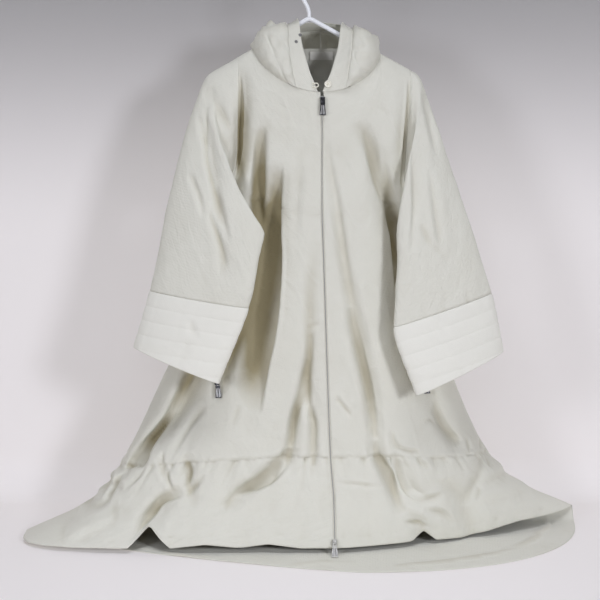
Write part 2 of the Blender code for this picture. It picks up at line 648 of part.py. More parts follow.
def hood_rows(side, steps):
    """Band seam points and pulls for each step round the neck, mirrored for the right."""
    stops = column(HOOD_ROWS, "a")
    table = np.array([row[1:] for row in HOOD_ROWS], float)
    rows = smooth_through(stops, table, steps)
    if side.sign > 0:
        rows[:, 1] = HOOD_CENTRE_X + (HOOD_CENTRE_X - rows[:, 1]) * RIGHT_HOOD_SCALE
        rows[:, 4] *= -1
        rows[:, 7] *= -1
        rows[:, 3] += RIGHT_HOOD_DROP * np.sin(np.pi * np.clip(steps, 0, 1))
    return rows


def hood_grid(side, steps, across):
    """Hood side: a cubic pull curve from the neck seam to the band for each step."""
    rows = hood_rows(side, steps)
    start = np.array([neck_point(side, angle) for angle in rows[:, 0]])
    end = rows[:, 1:4]
    pull_a = start + rows[:, 4:7] * np.array([1, 1, -1])
    pull_b = end + rows[:, 7:10] * np.array([1, 1, -1])
    s = np.linspace(0, 1, across + 1)[None, :, None]
    curve = ((1 - s) ** 3 * start[:, None] + 3 * s * (1 - s) ** 2 * pull_a[:, None]
             + 3 * s**2 * (1 - s) * pull_b[:, None] + s**3 * end[:, None])
    return curve


def make_hood(side):
    steps = np.linspace(0, 1, HOOD_STEPS + 1)
    grid = hood_grid(side, steps, HOOD_ACROSS)
    last = grid[-1].copy()
    grid[-1, :, 0] = HOOD_CENTRE_X + side.sign * HOOD_SEAM_HALF_GAP
    grid[-1, :, 1:] = last[:, 1:]
    s = np.linspace(0, 1, HOOD_ACROSS + 1)[None, :, None]
    along = grid[:, -1:] - grid[:, -2:-1]
    along /= np.linalg.norm(along, axis=-1, keepdims=True)
    grid = grid - along * SEAM_GAP * s
    order = grid if side.sign > 0 else grid[:, ::-1]
    mesh = grid_mesh(f"hood_{side.name}", to_world(order))
    return add_wall(add_object(f"hood_{side.name}", mesh, "cloth"), WALL)


def band_grid(side, steps, across):
    """Hood band: it goes on from the hood's edge and turns in towards the face opening."""
    edge = hood_rows(side, steps)[:, 1:4]
    way = smooth_through(column(BAND_ROWS, "a"), np.array([row[2:] for row in BAND_ROWS]), steps)
    width = smooth_through(column(BAND_ROWS, "a"), column(BAND_ROWS, "width"), steps)[:, 0]
    way[:, 0] *= -side.sign
    if side.sign > 0:
        width = width * RIGHT_BAND_SCALE
    way /= np.linalg.norm(way, axis=1, keepdims=True)
    s = np.linspace(0, 1, across + 1)[None, :, None]
    step = way * np.array([1, 1, -1])
    return edge[:, None] + step[:, None] * (SEAM_GAP * 2 + s * width[:, None, None])


def make_band():
    steps = np.linspace(0, 1, HOOD_STEPS + 1)
    left = band_grid(LEFT, steps, 3)
    right = band_grid(RIGHT, steps, 3)
    middle = (left[-1:] + right[-1:]) / 2
    grid = np.concatenate([left[:-1], middle, right[:-1][::-1]])
    mesh = grid_mesh("hood_band", to_world(grid))
    return add_wall(add_object("hood_band", mesh, "cloth"), WALL)


def tube_mesh(name, points, radius, resolution=2, cyclic=False):
    """Mesh of a round tube along points in millimetres (x, y, drop)."""
    curve = bpy.data.curves.new(name, "CURVE")
    curve.dimensions = "3D"
    curve.bevel_depth = radius * MM
    curve.bevel_resolution = resolution
    curve.use_fill_caps = not cyclic
    spline = curve.splines.new("POLY")
    spline.points.add(len(points) - 1)
    world = to_world(np.array(points))
    spline.points.foreach_set("co", np.c_[world, np.ones(len(world))].ravel())
    spline.use_cyclic_u = cyclic
    obj = bpy.data.objects.new(name, curve)
    bpy.context.scene.collection.objects.link(obj)
    evaluated = obj.evaluated_get(bpy.context.evaluated_depsgraph_get())
    mesh = bpy.data.meshes.new_from_object(evaluated)
    bpy.data.objects.remove(obj)
    work = bmesh.new()
    work.from_mesh(mesh)
    bmesh.ops.remove_doubles(work, verts=work.verts, dist=0.00001)
    work.to_mesh(mesh)
    work.free()
    mesh.shade_smooth()
    return mesh


def rounded_path(corners, radius, per_corner=5):
    """Straight runs joined by arcs at the inner corners."""
    corners = [np.array(p, float) for p in corners]
    path = [corners[0]]
    for before, at, after in zip(corners, corners[1:], corners[2:]):
        into = (before - at) / np.linalg.norm(before - at)
        out = (after - at) / np.linalg.norm(after - at)
        half = math.acos(np.clip(np.dot(into, out), -1, 1)) / 2
        reach = min(radius / math.tan(half), 0.45 * np.linalg.norm(after - at))
        start, end = at + into * reach, at + out * reach
        for k in range(per_corner + 1):
            s = k / per_corner
            path.append((1 - s) ** 2 * start + 2 * s * (1 - s) * at + s * s * end)
    path.append(corners[-1])
    return path


def make_hanger():
    """Hook with its stem, the two arms with down-turned tips, and the bar between the tips."""
    ring = HOOK_INNER_RADIUS + HOOK_RADIUS
    angles = np.radians(np.linspace(-25, 222, 22))
    hook = [(ring * math.cos(a), 0.0, HOOK_INNER_RADIUS - ring * math.sin(a)) for a in angles]
    stem = [(-12.5, 0.0, 47.0), (-7.0, 0.0, 57.0), (JUNCTION[0], 0.0, 68.0),
            (JUNCTION[0], 0.0, JUNCTION[1] + 1)]
    hook_obj = add_object("hanger_hook", tube_mesh("hanger_hook", hook + stem, HOOK_RADIUS, 2), "hanger")
    arms = rounded_path([(LEFT_TIP[0], 0, TIP_LENGTH), (LEFT_TIP[0], 0, LEFT_TIP[1]),
                         (JUNCTION[0], 0, JUNCTION[1]),
                         (RIGHT_TIP[0], 0, RIGHT_TIP[1]), (RIGHT_TIP[0], 0, TIP_LENGTH)], TIP_ROUND)
    arms_obj = add_object("hanger_arms", tube_mesh("hanger_arms", arms, ARM_RADIUS, 2), "hanger")
    weld = arms_obj.modifiers.new("Join hook", "BOOLEAN")
    weld.operation = "UNION"
    weld.object = hook_obj
    evaluated = arms_obj.evaluated_get(bpy.context.evaluated_depsgraph_get())
    joined = bpy.data.meshes.new_from_object(evaluated)
    joined.name = "hanger"
    bpy.data.objects.remove(arms_obj)
    bpy.data.objects.remove(hook_obj)
    joined.shade_smooth()
    hanger = add_object("hanger", joined, "hanger")
    bar = rounded_path([(LEFT_TIP[0], 0, BAR_END), (LEFT_TIP[0], 0, BAR_DROP),
                        (RIGHT_TIP[0], 0, BAR_DROP), (RIGHT_TIP[0], 0, BAR_END)], BAR_ROUND)
    add_object("hanger_bar", tube_mesh("hanger_bar", bar, ARM_RADIUS * 0.9, 2), "hanger")
    return hanger


def zip_line(levels):
    """Centre line of the zip (x, y, drop) with the folds and hem lift of the front."""
    grid = body_panel(RIGHT, True, [0.0], levels)
    return with_folds(grid, True, levels, [0.0])[:, 0]


def make_chain():
    """Closed zip chain between the fronts: a flat strip on the zip line."""
    between = tuple(g for g in TOP_STEPS + FRONT_STEPS[:-1] if g > ZIP_TOP_STEP)
    levels = (ZIP_TOP_STEP,) + between + (ZIP_FOOT_STEP,)
    line = zip_line(levels)
    half = CHAIN_WIDTH / 2
    across = np.array([[-half, 0, 0], [half, 0, 0]])
    grid = line[:, None] + across[None]
    return add_wall(add_object("zip_chain", grid_mesh("zip_chain", to_world(grid)), "zip"), CHAIN_THICKNESS)


def carrier_tree(name):
    """Search tree over a finished piece, for laying others on it."""
    return BVHTree.FromObject(PARTS.objects[name], bpy.context.evaluated_depsgraph_get())


def on_surface(tree, x, drop):
    """Where a line straight back through (x, drop) meets a piece, and the way out of it there."""
    return tree.ray_cast(Vector((x, RAY_START_Y, -drop)) * MM, Vector((0, 1, 0)))[:2]


def make_pocket_zip(strip):
    """Strip laid on its front panel, from the panel's own points moved out."""
    tree = carrier_tree(strip.panel)
    rows = []
    for s in np.linspace(0, 1, STRIP_STEPS + 1):
        x = strip.top_x + (strip.foot_x - strip.top_x) * s
        drop = strip.top_drop + (strip.foot_drop - strip.top_drop) * s
        row = []
        for across in (-0.5, 0.0, 0.5):
            hit, normal = on_surface(tree, x + across * STRIP_WIDTH, drop)
            row.append(hit + normal * (STRIP_GAP + STRIP_THICKNESS / 2) * MM)
        rows.append(row)
    mesh = grid_mesh(strip.name, np.array(rows))
    return add_wall(add_object(strip.name, mesh, "zip"), STRIP_THICKNESS)


def block_mesh(name, size, centre, bevel):
    """Box of the given size and centre (mm, Z up) with its edges rounded."""
    work = bmesh.new()
    bmesh.ops.create_cube(work, size=1.0)
    bmesh.ops.scale(work, vec=[s * MM for s in size], verts=work.verts)
    bmesh.ops.bevel(work, geom=list(work.edges), offset=bevel * MM, segments=1, affect="EDGES", profile=0.5)
    bmesh.ops.translate(work, vec=[s * MM for s in centre], verts=work.verts)
    return finish_mesh(name, work)


def finish_mesh(name, work):
    mesh = bpy.data.meshes.new(name)
    work.to_mesh(mesh)
    work.free()
    mesh.shade_smooth()
    mesh.set_sharp_from_angle(angle=math.radians(40))
    return mesh


def rod_mesh(name, radius, length, sides):
    """Cylinder along X."""
    work = bmesh.new()
    bmesh.ops.create_cone(work, cap_ends=True, segments=sides, radius1=radius * MM, radius2=radius * MM,
                          depth=length * MM)
    bmesh.ops.rotate(work, verts=work.verts, cent=(0, 0, 0), matrix=Matrix.Rotation(math.pi / 2, 3, "Y"))
    return finish_mesh(name, work)


def joined_mesh(name, meshes):
    """Boolean union of closed meshes."""
    objects = [bpy.data.objects.new(mesh.name, mesh) for mesh in meshes]
    for obj in objects:
        CUTTERS.objects.link(obj)
    for other in objects[1:]:
        weld = objects[0].modifiers.new("Join", "BOOLEAN")
        weld.operation = "UNION"
        weld.object = other
    evaluated = objects[0].evaluated_get(bpy.context.evaluated_depsgraph_get())
    mesh = bpy.data.meshes.new_from_object(evaluated)
    mesh.name = name
    for obj in objects:
        bpy.data.objects.remove(obj)
    return mesh


def slider_mesh(name, pin):
    """Slider body with two lugs and the pin between them. The origin is on the pin."""
    body = block_mesh("body", (SLIDER_WIDTH, SLIDER_THICKNESS, SLIDER_LENGTH), (0, PIN_OUT, -pin), 1.0)
    reach = PIN_OUT + PIN_RADIUS
    lugs = [block_mesh("lug", (LUG_THICKNESS, reach, LUG_HEIGHT),
                       (way * LUG_SPAN / 2, reach / 2 - PIN_RADIUS * 1.2, 0), 0.3) for way in (-1, 1)]
    return joined_mesh(name, [body, *lugs, rod_mesh("pin", PIN_RADIUS, LUG_SPAN, 10)])


def knuckle_mesh():
    """Ring round the pin: a turned profile about X."""
    outline = [(-KNUCKLE_WIDTH / 2, KNUCKLE_HOLE), (KNUCKLE_WIDTH / 2, KNUCKLE_HOLE),
               (KNUCKLE_WIDTH / 2, KNUCKLE_RADIUS), (-KNUCKLE_WIDTH / 2, KNUCKLE_RADIUS)]
    mesh = bpy.data.meshes.new("knuckle")
    mesh.from_pydata([(x * MM, 0, r * MM) for x, r in outline], [(0, 1), (1, 2), (2, 3), (3, 0)], [])
    obj = bpy.data.objects.new("knuckle", mesh)
    CUTTERS.objects.link(obj)
    turn = obj.modifiers.new("Turn", "SCREW")
    turn.axis = "X"
    turn.steps = turn.render_steps = 12
    turn.use_merge_vertices = True
    turn.merge_threshold = 0.00001
    turned = bpy.data.meshes.new_from_object(obj.evaluated_get(bpy.context.evaluated_depsgraph_get()))
    bpy.data.objects.remove(obj)
    work = bmesh.new()
    work.from_mesh(turned)
    bmesh.ops.recalc_face_normals(work, faces=work.faces)
    return finish_mesh("knuckle", work)


def tab_mesh(name):
    """Pull tab: a plate that widens to its foot, hung on its knuckle. The origin is on the pin."""
    top = -(KNUCKLE_HOLE + KNUCKLE_RADIUS) / 2
    length = TAB_LENGTH + top
    work = bmesh.new()
    bmesh.ops.create_cube(work, size=1.0)
    bmesh.ops.scale(work, vec=(TAB_FOOT_WIDTH * MM, TAB_THICKNESS * MM, length * MM), verts=work.verts)
    for vert in work.verts:
        if vert.co.z > 0:
            vert.co.x *= TAB_TOP_WIDTH / TAB_FOOT_WIDTH
    bmesh.ops.bevel(work, geom=list(work.edges), offset=0.6 * MM, segments=1, affect="EDGES", profile=0.5)
    bmesh.ops.translate(work, vec=(0, 0, (top - length / 2) * MM), verts=work.verts)
    return joined_mesh(name, [knuckle_mesh(), finish_mesh("plate", work)])


def rest_lean(pivot, yaw, least):
    """Angle at which a hanging pull's back just clears the fronts behind it."""
    trees = [carrier_tree(name) for name in ("front_left", "front_right")]
    lean = math.radians(least)
    for down in np.linspace(4, TAB_LENGTH, 8):
        for across in np.linspace(-0.5, 0.5, 5) * TAB_FOOT_WIDTH:
            x = pivot.x / MM + across * math.cos(yaw)
            y = pivot.y / MM + across * math.sin(yaw)
            hits = [on_surface(tree, x, -pivot.z / MM + down)[0] for tree in trees]
            for hit in filter(None, hits):
                need = y - hit.y / MM + TAB_THICKNESS / 2 + PULL_GAP
                lean = max(lean, math.atan2(need, down))
    return lean


def make_slider(slider):
    """Slider set flat on what carries it, with its pull hung on its pin."""
    hit, normal = on_surface(carrier_tree(slider.carrier), slider.x, slider.drop)
    yaw = math.atan2(normal.x, -normal.y)
    tilt = -math.asin(normal.z)
    turn = Matrix.Rotation(yaw, 4, "Z") @ Matrix.Rotation(tilt, 4, "X")
    out = slider.lift + SLIDER_THICKNESS / 2 + PIN_OUT
    pivot = hit + turn.to_3x3() @ Vector((0, -out, slider.pin)) * MM
    body = add_object(slider.name, slider_mesh(slider.name, slider.pin), "metal")
    body.location = pivot
    body.rotation_euler = (tilt, 0, yaw)
    pull = add_object(slider.pull, tab_mesh(slider.pull), "metal")
    pull.location = pivot
    pull.rotation_euler = (-rest_lean(pivot, yaw, slider.lean), 0, yaw)
    return pull


def make_button():
    """Round collar button laid on the right of the hood band."""
    hit, normal = on_surface(carrier_tree("hood_band"), *BUTTON_PLACE)
    work = bmesh.new()
    bmesh.ops.create_cone(work, cap_ends=True, segments=20, radius1=BUTTON_DIAMETER / 2 * MM,
                          radius2=BUTTON_DIAMETER / 2 * MM, depth=BUTTON_THICKNESS * MM)
    rims = [edge for edge in work.edges if abs(edge.verts[0].co.z - edge.verts[1].co.z) < 1e-6]
    bmesh.ops.bevel(work, geom=rims, offset=0.6 * MM, segments=1, affect="EDGES", profile=0.5)
    button = add_object("collar_button", finish_mesh("collar_button", work), "button")
    button.location = hit + normal * (STRIP_GAP + BUTTON_THICKNESS / 2) * MM
    button.rotation_euler = normal.to_track_quat("Z", "Y").to_euler()
    return button


def make_loop():
    """Cord loop lying on the left of the hood band, open to the left where it is sewn down."""
    hit, normal = on_surface(carrier_tree("hood_band"), *LOOP_PLACE)
    angles = np.linspace(-math.pi / 2, math.pi / 2, 9)
    bow = [(LOOP_REACH / 2 + LOOP_HALF_HEIGHT * math.cos(a), 0, LOOP_HALF_HEIGHT * math.sin(a))
           for a in angles]
    path = [(-LOOP_REACH / 2, 0, -LOOP_HALF_HEIGHT), *bow, (-LOOP_REACH / 2, 0, LOOP_HALF_HEIGHT)]
    loop = add_object("button_loop", tube_mesh("button_loop", path, LOOP_RADIUS, 1), "button")
    loop.location = hit + normal * (STRIP_GAP + LOOP_RADIUS) * MM
    loop.rotation_euler = (-math.asin(normal.z), 0, math.atan2(normal.x, -normal.y))
    return loop


def make_label():
    """Bare woven label against the inside of the back, under the neck seam."""
    tree = carrier_tree("back")
    rows = []
    for drop in np.linspace(LABEL_TOP_DROP, LABEL_TOP_DROP + LABEL_HEIGHT, 3):
        row = []
        for across in np.linspace(-0.5, 0.5, 7):
            hit, normal = on_surface(tree, FRONT_LEVELS[0].zip_x + across * LABEL_WIDTH, drop)
            row.append(hit + normal * (STRIP_GAP + LABEL_THICKNESS / 2) * MM)
        rows.append(row)
    mesh = grid_mesh("neck_label", np.array(rows))
    return add_wall(add_object("neck_label", mesh, "label"), LABEL_THICKNESS)


clear_scene()
PARTS = bpy.data.collections.new("hooded_swing_coat")
CUTTERS = bpy.data.collections.new("cutters")
bpy.context.scene.collection.children.link(PARTS)
bpy.context.scene.collection.children.link(CUTTERS)

make_hanger()
for each in (LEFT, RIGHT):
    make_front(each)
make_back()
for each in (LEFT, RIGHT):
    make_sleeve(each)
    make_cuff(each)
    make_hood(each)
make_band()
make_chain()
for each in POCKET_ZIPS:
    make_pocket_zip(each)
for each in SLIDERS:
    make_slider(each)
make_button()
make_loop()
make_label()
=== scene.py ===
"""Looks of a hooded swing coat on its moulded hanger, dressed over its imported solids.

X runs to the viewer's right, Y away from the viewer and Z up, in metres. Tables are in millimetres,
and a "drop" is a distance below the inner top of the hanger's hook. Panels are named for the side
the viewer sees them on.
"""

import json
import math
from collections import namedtuple

import bpy
import numpy as np
from mathutils import Matrix, Vector
from mathutils.bvhtree import BVHTree


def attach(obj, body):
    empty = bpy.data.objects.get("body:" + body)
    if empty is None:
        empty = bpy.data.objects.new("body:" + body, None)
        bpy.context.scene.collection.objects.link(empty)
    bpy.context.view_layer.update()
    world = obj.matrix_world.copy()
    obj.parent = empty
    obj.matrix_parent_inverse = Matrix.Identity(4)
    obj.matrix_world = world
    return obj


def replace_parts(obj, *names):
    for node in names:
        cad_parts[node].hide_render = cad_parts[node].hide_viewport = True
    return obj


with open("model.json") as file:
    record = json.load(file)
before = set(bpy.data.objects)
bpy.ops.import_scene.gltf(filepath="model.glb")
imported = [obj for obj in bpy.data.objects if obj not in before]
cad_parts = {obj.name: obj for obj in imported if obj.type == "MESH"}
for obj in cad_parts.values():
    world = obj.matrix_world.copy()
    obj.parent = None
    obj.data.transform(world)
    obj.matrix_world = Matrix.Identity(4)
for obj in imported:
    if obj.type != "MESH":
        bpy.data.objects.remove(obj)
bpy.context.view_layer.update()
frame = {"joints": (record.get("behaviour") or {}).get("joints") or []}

MM = 0.001
FLOOR_DROP = 1110.0
WALL = 1.5
CLOTH = 0.8
CUFF_CLOTH = 2.0
BAND_CLOTH = 1.2
SEAM_GAP = 0.15
LAY_GAP = 0.4

# Hanger
ARM_RADIUS = 4.5
HOOK_RADIUS = 4.0
HOOK_INNER_RADIUS = 20.0
JUNCTION = (-4.0, 78.0)
LEFT_TIP = (-196.0, 192.0)
RIGHT_TIP = (201.0, 189.0)
TIP_ROUND = 14.0
BAR_DROP = 234.0
BAR_ROUND = 9.0
TIP_LENGTH = BAR_DROP - 16.0
BAR_END = BAR_DROP - 16.5
ARM_CLEARANCE = 1.28

# Front: one row for each level from the underarm to the hem
Level = namedtuple("Level", "name zip_x zip_y zip_drop left_x left_y left_drop left_full "
                            "right_x right_y right_drop right_full")
FRONT_LEVELS = (
    Level("underarm", 21, -78, 460, -170, 0, 410, 2.1, 201, 0, 440, 2.3),
    Level("waist", 27, -92, 625, -214, 0, 617, 1.8, 237, 10, 619, 1.9),
    Level("hip", 32, -105, 775, -292, 0, 778, 1.9, 288, 20, 790, 1.9),
    Level("drawcord", 38, -127, 930, -385, -10, 966, 2.5, 362, 30, 950, 2.1),
    Level("flounce", 44, -150, 1011, -452, -20, 1046, 3.0, 430, 35, 1020, 1.7),
    Level("hem", 46, -187, 1097, -577, -44, 1103, 4.2, 549, 53, 1080, 1.3))

# Back: it hangs to the table, then lies forward on it under the front hem
BackLevel = namedtuple("BackLevel", "name x y drop left_full right_full rise")
BACK_LEVELS = (
    BackLevel("underarm", 21, 64, 461, 2.1, 2.3, 1.5),
    BackLevel("waist", 22, 76, 622, 2.0, 2.0, 1.5),
    BackLevel("hip", 24, 88, 790, 2.0, 2.0, 1.5),
    BackLevel("drawcord", 26, 94, 965, 2.0, 2.0, 1.6),
    BackLevel("table", 34, 62, 1101, 1.8, 1.8, 3.0),
    BackLevel("hem", 100, -295, 1108.8, 1.25, 2.2, 26.0))

# Shoulders: where each armhole starts and how the neck sits between them
Side = namedtuple("Side", "name sign armhole_x armhole_low_x scoop_start neck_x neck_power neck_share")
LEFT = Side("left", -1, -143, -147, 0.70, -115, 1.5, 0.8)
RIGHT = Side("right", 1, 196, 183, 0.78, 135, 1.15, 0.72)
ZIP_TOP_DROP = 222.0
BACK_NECK_DROP = 137.0
CHEST_DEPTH = 62.0
BACK_DEPTH = 52.0
MIN_DEPTH = 9.0
SHOULDER_ROUND = 5.5
SHOULDER_SLOPE = 0.55
CHEST_WIDENING = 0.5
WIDENING_HEIGHT = 280.0
NECK_SEAM_LIFT = 1.2
NECK_SEAM_IN = 0.5
NECK_TUCK = 0.8
WAVE_DROP = 1006.0
WAVE_REACH = 30.0

# Folds end this share of the row before the side seam, and go no deeper than this share of the body
SEAM_FADE = 0.14
DEEPEST_PUSH = 0.7

# Folds: a trough that follows its line down the cloth, pushed towards the inside.
# Each stop of a line is (drop, x, depth).
Fold = namedtuple("Fold", "name width line")
FRONT_FOLDS = (
    Fold("left armhole gap", 13,
         ((165, -143, 0), (237, -139, 14), (301, -140, 28),
          (360, -144, 27), (400, -152, 13), (440, -166, 0))),
    Fold("left chest", 10, ((270, -94, 0), (366, -100, 16), (444, -106, 20), (540, -112, 0))),
    Fold("left valley", 19,
         ((360, -66, 0), (430, -76, 24), (494, -88, 42), (625, -104, 48),
          (740, -116, 34), (850, -124, 8), (900, -126, 0))),
    Fold("left valley branch", 10, ((640, -124, 0), (722, -152, 20), (775, -170, 14), (840, -186, 0))),
    Fold("left pocket", 14, ((700, -200, 0), (790, -222, 12), (860, -236, 10), (930, -250, 0))),
    Fold("centre long", 9,
         ((500, 11, 0), (625, -3, 6), (712, -3, 9), (800, -9, 13),
          (860, -30, 15), (930, -38, 11), (975, -42, 0))),
    Fold("centre short", 8, ((780, 5, 0), (860, 2, 9), (930, 1, 9), (980, 0, 0))),
    Fold("right of zip", 10,
         ((340, 33, 0), (430, 47, 4), (508, 58, 7), (611, 77, 12),
          (722, 101, 17), (820, 121, 17), (898, 129, 12), (960, 134, 0))),
    Fold("right chest", 14, ((280, 108, 0), (378, 134, 18), (444, 150, 24), (520, 172, 20), (570, 180, 0))),
    Fold("right armhole gap", 13,
         ((185, 198, 0), (250, 194, 12), (320, 189, 20), (370, 186, 14), (410, 184, 5), (440, 184, 0))),
    Fold("right valley", 20,
         ((440, 176, 0), (508, 184, 34), (605, 190, 46), (700, 200, 40), (780, 214, 20), (850, 226, 0))),
    Fold("left side gap", 13,
         ((740, -232, 0), (800, -246, 22), (855, -264, 36),
          (911, -312, 36), (950, -352, 20), (985, -380, 0))),
    Fold("left diagonal", 13,
         ((915, -30, 0), (940, -62, 12), (973, -98, 17), (1010, -142, 12), (1040, -180, 0))),
    Fold("left short", 9, ((925, -243, 0), (965, -242, 11), (1000, -236, 9), (1030, -230, 0))),
    Fold("left hem fold", 15, ((985, -246, 0), (1020, -290, 14), (1060, -318, 26), (1110, -322, 34))),
    Fold("left gather a", 8, ((925, -316, 0), (950, -345, 8), (1000, -392, 12), (1035, -420, 0))),
    Fold("left gather b", 9, ((960, -385, 0), (1000, -425, 10), (1050, -470, 12), (1090, -500, 0))),
    Fold("right flounce a", 10, ((900, 117, 0), (945, 139, 15), (1000, 166, 13), (1045, 184, 0))),
    Fold("right flounce b", 10, ((920, 170, 0), (955, 178, 12), (995, 196, 13), (1020, 232, 0))),
    Fold("right flounce c", 10, ((925, 352, 0), (965, 345, 12), (1010, 325, 9), (1040, 310, 0))),
    Fold("right hip", 11, ((790, 230, 0), (850, 254, 14), (900, 280, 14), (950, 300, 0))),
    Fold("right hem dent", 13, ((1030, 180, 0), (1065, 208, 10), (1110, 222, 14))),
    Fold("right flank", 16, ((980, 260, 0), (1030, 300, 12), (1110, 330, 10))))
BACK_FOLDS = (
    Fold("back left armhole gap", 13,
         ((165, -143, 0), (260, -139, 12), (340, -142, 15), (400, -152, 6), (440, -166, 0))),
    Fold("back right armhole gap", 13,
         ((185, 198, 0), (260, 194, 8), (330, 189, 9), (400, 184, 3), (430, 184, 0))),
    Fold("back left outer", 18,
         ((420, -120, 0), (620, -160, 20), (850, -232, 34), (1000, -290, 28), (1095, -318, 0))),
    Fold("back left inner", 15,
         ((360, -60, 0), (600, -84, 14), (850, -126, 26), (1000, -160, 24), (1095, -176, 0))),
    Fold("back centre left", 13,
         ((520, -12, 0), (720, -30, 12), (900, -52, 22), (1010, -62, 20), (1095, -66, 0))),
    Fold("back centre right", 14,
         ((430, 46, 0), (680, 62, 14), (880, 76, 24), (1010, 88, 20), (1095, 94, 0))),
    Fold("back right inner", 15,
         ((380, 104, 0), (600, 124, 16), (850, 164, 26), (1000, 190, 24), (1095, 204, 0))),
    Fold("back right outer", 18,
         ((430, 150, 0), (620, 190, 20), (850, 246, 32), (1000, 286, 26), (1095, 310, 0))))

# Hem: how far each stretch of the front hem is lifted off the table. A lift is a tent with a level
# top: its slope falls by 1 over so many of its widths, and its peak is cut off at 1.
TENT_PEAK = 1.06
TENT_REACH = 2.3
Lift = namedtuple("Lift", "name x rise width")
HEM_LIFTS = (
    Lift("left peak", -315, 34, 17),
    Lift("left trough", -205, 7, 30),
    Lift("left middle", -84, 8, 26),
    Lift("right peak", 223, 16, 10),
    Lift("right middle", 315, -9, 46),
    Lift("right trough", 400, 4, 40))

# Sleeves: outer is the line over the hanger's tip, inner the line from the underarm. Lean turns
# a ring's flat side about Z, in degrees, and tuck draws its back wall out from under the front one.
Ring = namedtuple("Ring", "t outer_x outer_y outer_drop inner_x inner_y inner_drop half_depth lean tuck")
LEFT_SLEEVE = (
    Ring(0.00, -143, 0, 0, -170, 0, 410, 40, 0, 1),
    Ring(0.05, -158, 0, 0, -178, -12, 411, 39, 33, 1.7),
    Ring(0.11, -178, 0, 0, -177, -38, 429, 38, 46, 2.4),
    Ring(0.18, -205, 0, 184, -158, -66, 452, 32, 40, 3.2),
    Ring(0.27, -224, -6, 232, -124, -87, 473, 28, 34, 4.4),
    Ring(0.38, -248, -20, 306, -91, -101, 494, 24, 20, 4.0),
    Ring(0.52, -274, -35, 403, -100, -112, 532, 22, 4, 1.8),
    Ring(0.67, -300, -48, 530, -110, -118, 582, 22, 0, 1.2),
    Ring(0.80, -318, -60, 611, -122, -124, 636, 22, 0, 1),
    Ring(1.00, -351, -70, 722, -180, -134, 782, 24, 0, 1))
RIGHT_SLEEVE = (
    Ring(0.00, 196, 0, 0, 201, 0, 440, 40, 0, 1),
    Ring(0.05, 204, 0, 0, 210, -18, 439, 39, 26, 1),
    Ring(0.11, 213, -1, 190, 208, -40, 451, 38, 40, 2.1),
    Ring(0.20, 223, -5, 216, 184, -77, 469, 33, 38, 3.7),
    Ring(0.32, 243, -14, 270, 168, -91, 499, 29, 21, 3.1),
    Ring(0.46, 270, -28, 352, 168, -106, 545, 25, 4, 1.6),
    Ring(0.62, 306, -42, 462, 164, -114, 605, 23, 0, 1.1),
    Ring(0.80, 357, -55, 616, 160, -122, 674, 22, 0, 1),
    Ring(1.00, 382, -62, 732, 204, -134, 806, 24, 0, 1))
SLEEVE_HEAD = 0.17
EDGE_CROWDING = 0.4
ARMHOLE_GAP = 0.2
UNDERARM_GAP = 0.2
SLEEVE_FOLDS = {
    "left": (
        Fold("left sleeve long", 8,
             ((190, -207, 0), (260, -206, 7), (340, -196, 8), (430, -182, 5), (480, -172, 0))),
        Fold("left sleeve upper", 9, ((195, -196, 0), (250, -176, 9), (310, -160, 6), (350, -154, 0))),
        Fold("left sleeve lower", 9, ((400, -200, 0), (460, -186, 6), (540, -172, 5), (590, -166, 0)))),
    "right": (
        Fold("right sleeve long", 10, ((300, 212, 0), (380, 212, 6), (480, 216, 5), (560, 224, 0))),
        Fold("right sleeve upper", 9, ((210, 226, 0), (260, 232, 5), (330, 244, 4), (380, 252, 0))))}

# Hood: each row runs from the neck seam to the band's seam, by way of two pulls
HoodRow = namedtuple("HoodRow", "a neck_angle edge_x edge_y edge_drop rise_x rise_y rise sag_x sag_y sag")
HOOD_ROWS = (
    HoodRow(0.00, 31, -31, -55, 211, 5, -3, -1, -5, -3, 1),
    HoodRow(0.16, 46, -38, -52, 174, -4, -14, 12, -12, -10, -2),
    HoodRow(0.32, 62, -44, -38, 128, -8, -16, 26, -22, -12, 6),
    HoodRow(0.46, 84, -46, -14, 95, -4, -8, 30, -26, -6, 14),
    HoodRow(0.58, 106, -47, 22, 90, -4, 20, 20, -22, 10, 10),
    HoodRow(0.72, 132, -42, 62, 98, -12, 46, 8, -26, 40, -90),
    HoodRow(0.86, 160, -20, 88, 100, -8, 58, 6, -12, 52, -190),
    HoodRow(1.00, 180, 20, 96, 98, 0, 60, 5, 0, 56, -232))
BandRow = namedtuple("BandRow", "a width in_x back rise")
BAND_ROWS = (
    BandRow(0.00, 44, 1.0, -0.03, -0.18),
    BandRow(0.16, 34, 1.0, 0.15, -0.12),
    BandRow(0.32, 28, 0.9, 0.45, 0.15),
    BandRow(0.58, 24, 0.8, 0.10, 0.50),
    BandRow(1.00, 22, 0.0, -0.75, 0.65))
HOOD_CENTRE_X = 20.0
HOOD_SEAM_HALF_GAP = 0.2
RIGHT_HOOD_SCALE = 0.93
RIGHT_HOOD_DROP = 9.0
RIGHT_BAND_SCALE = 1.06

# Zips: a closed chain down the front, and a strip for each pocket
ZIP_TOP_LEVEL = 0.055
ZIP_FOOT_LEVEL = 5.93
CHAIN_WIDTH = 5.0
ZipStrip = namedtuple("ZipStrip", "name panel top_x top_drop foot_x foot_drop")
POCKET_ZIPS = (
    ZipStrip("pocket_zip_left", "front_left", -172, 655, -187, 783),
    ZipStrip("pocket_zip_right", "front_right", 212, 652, 228, 780))
STRIP_GAP = 0.7

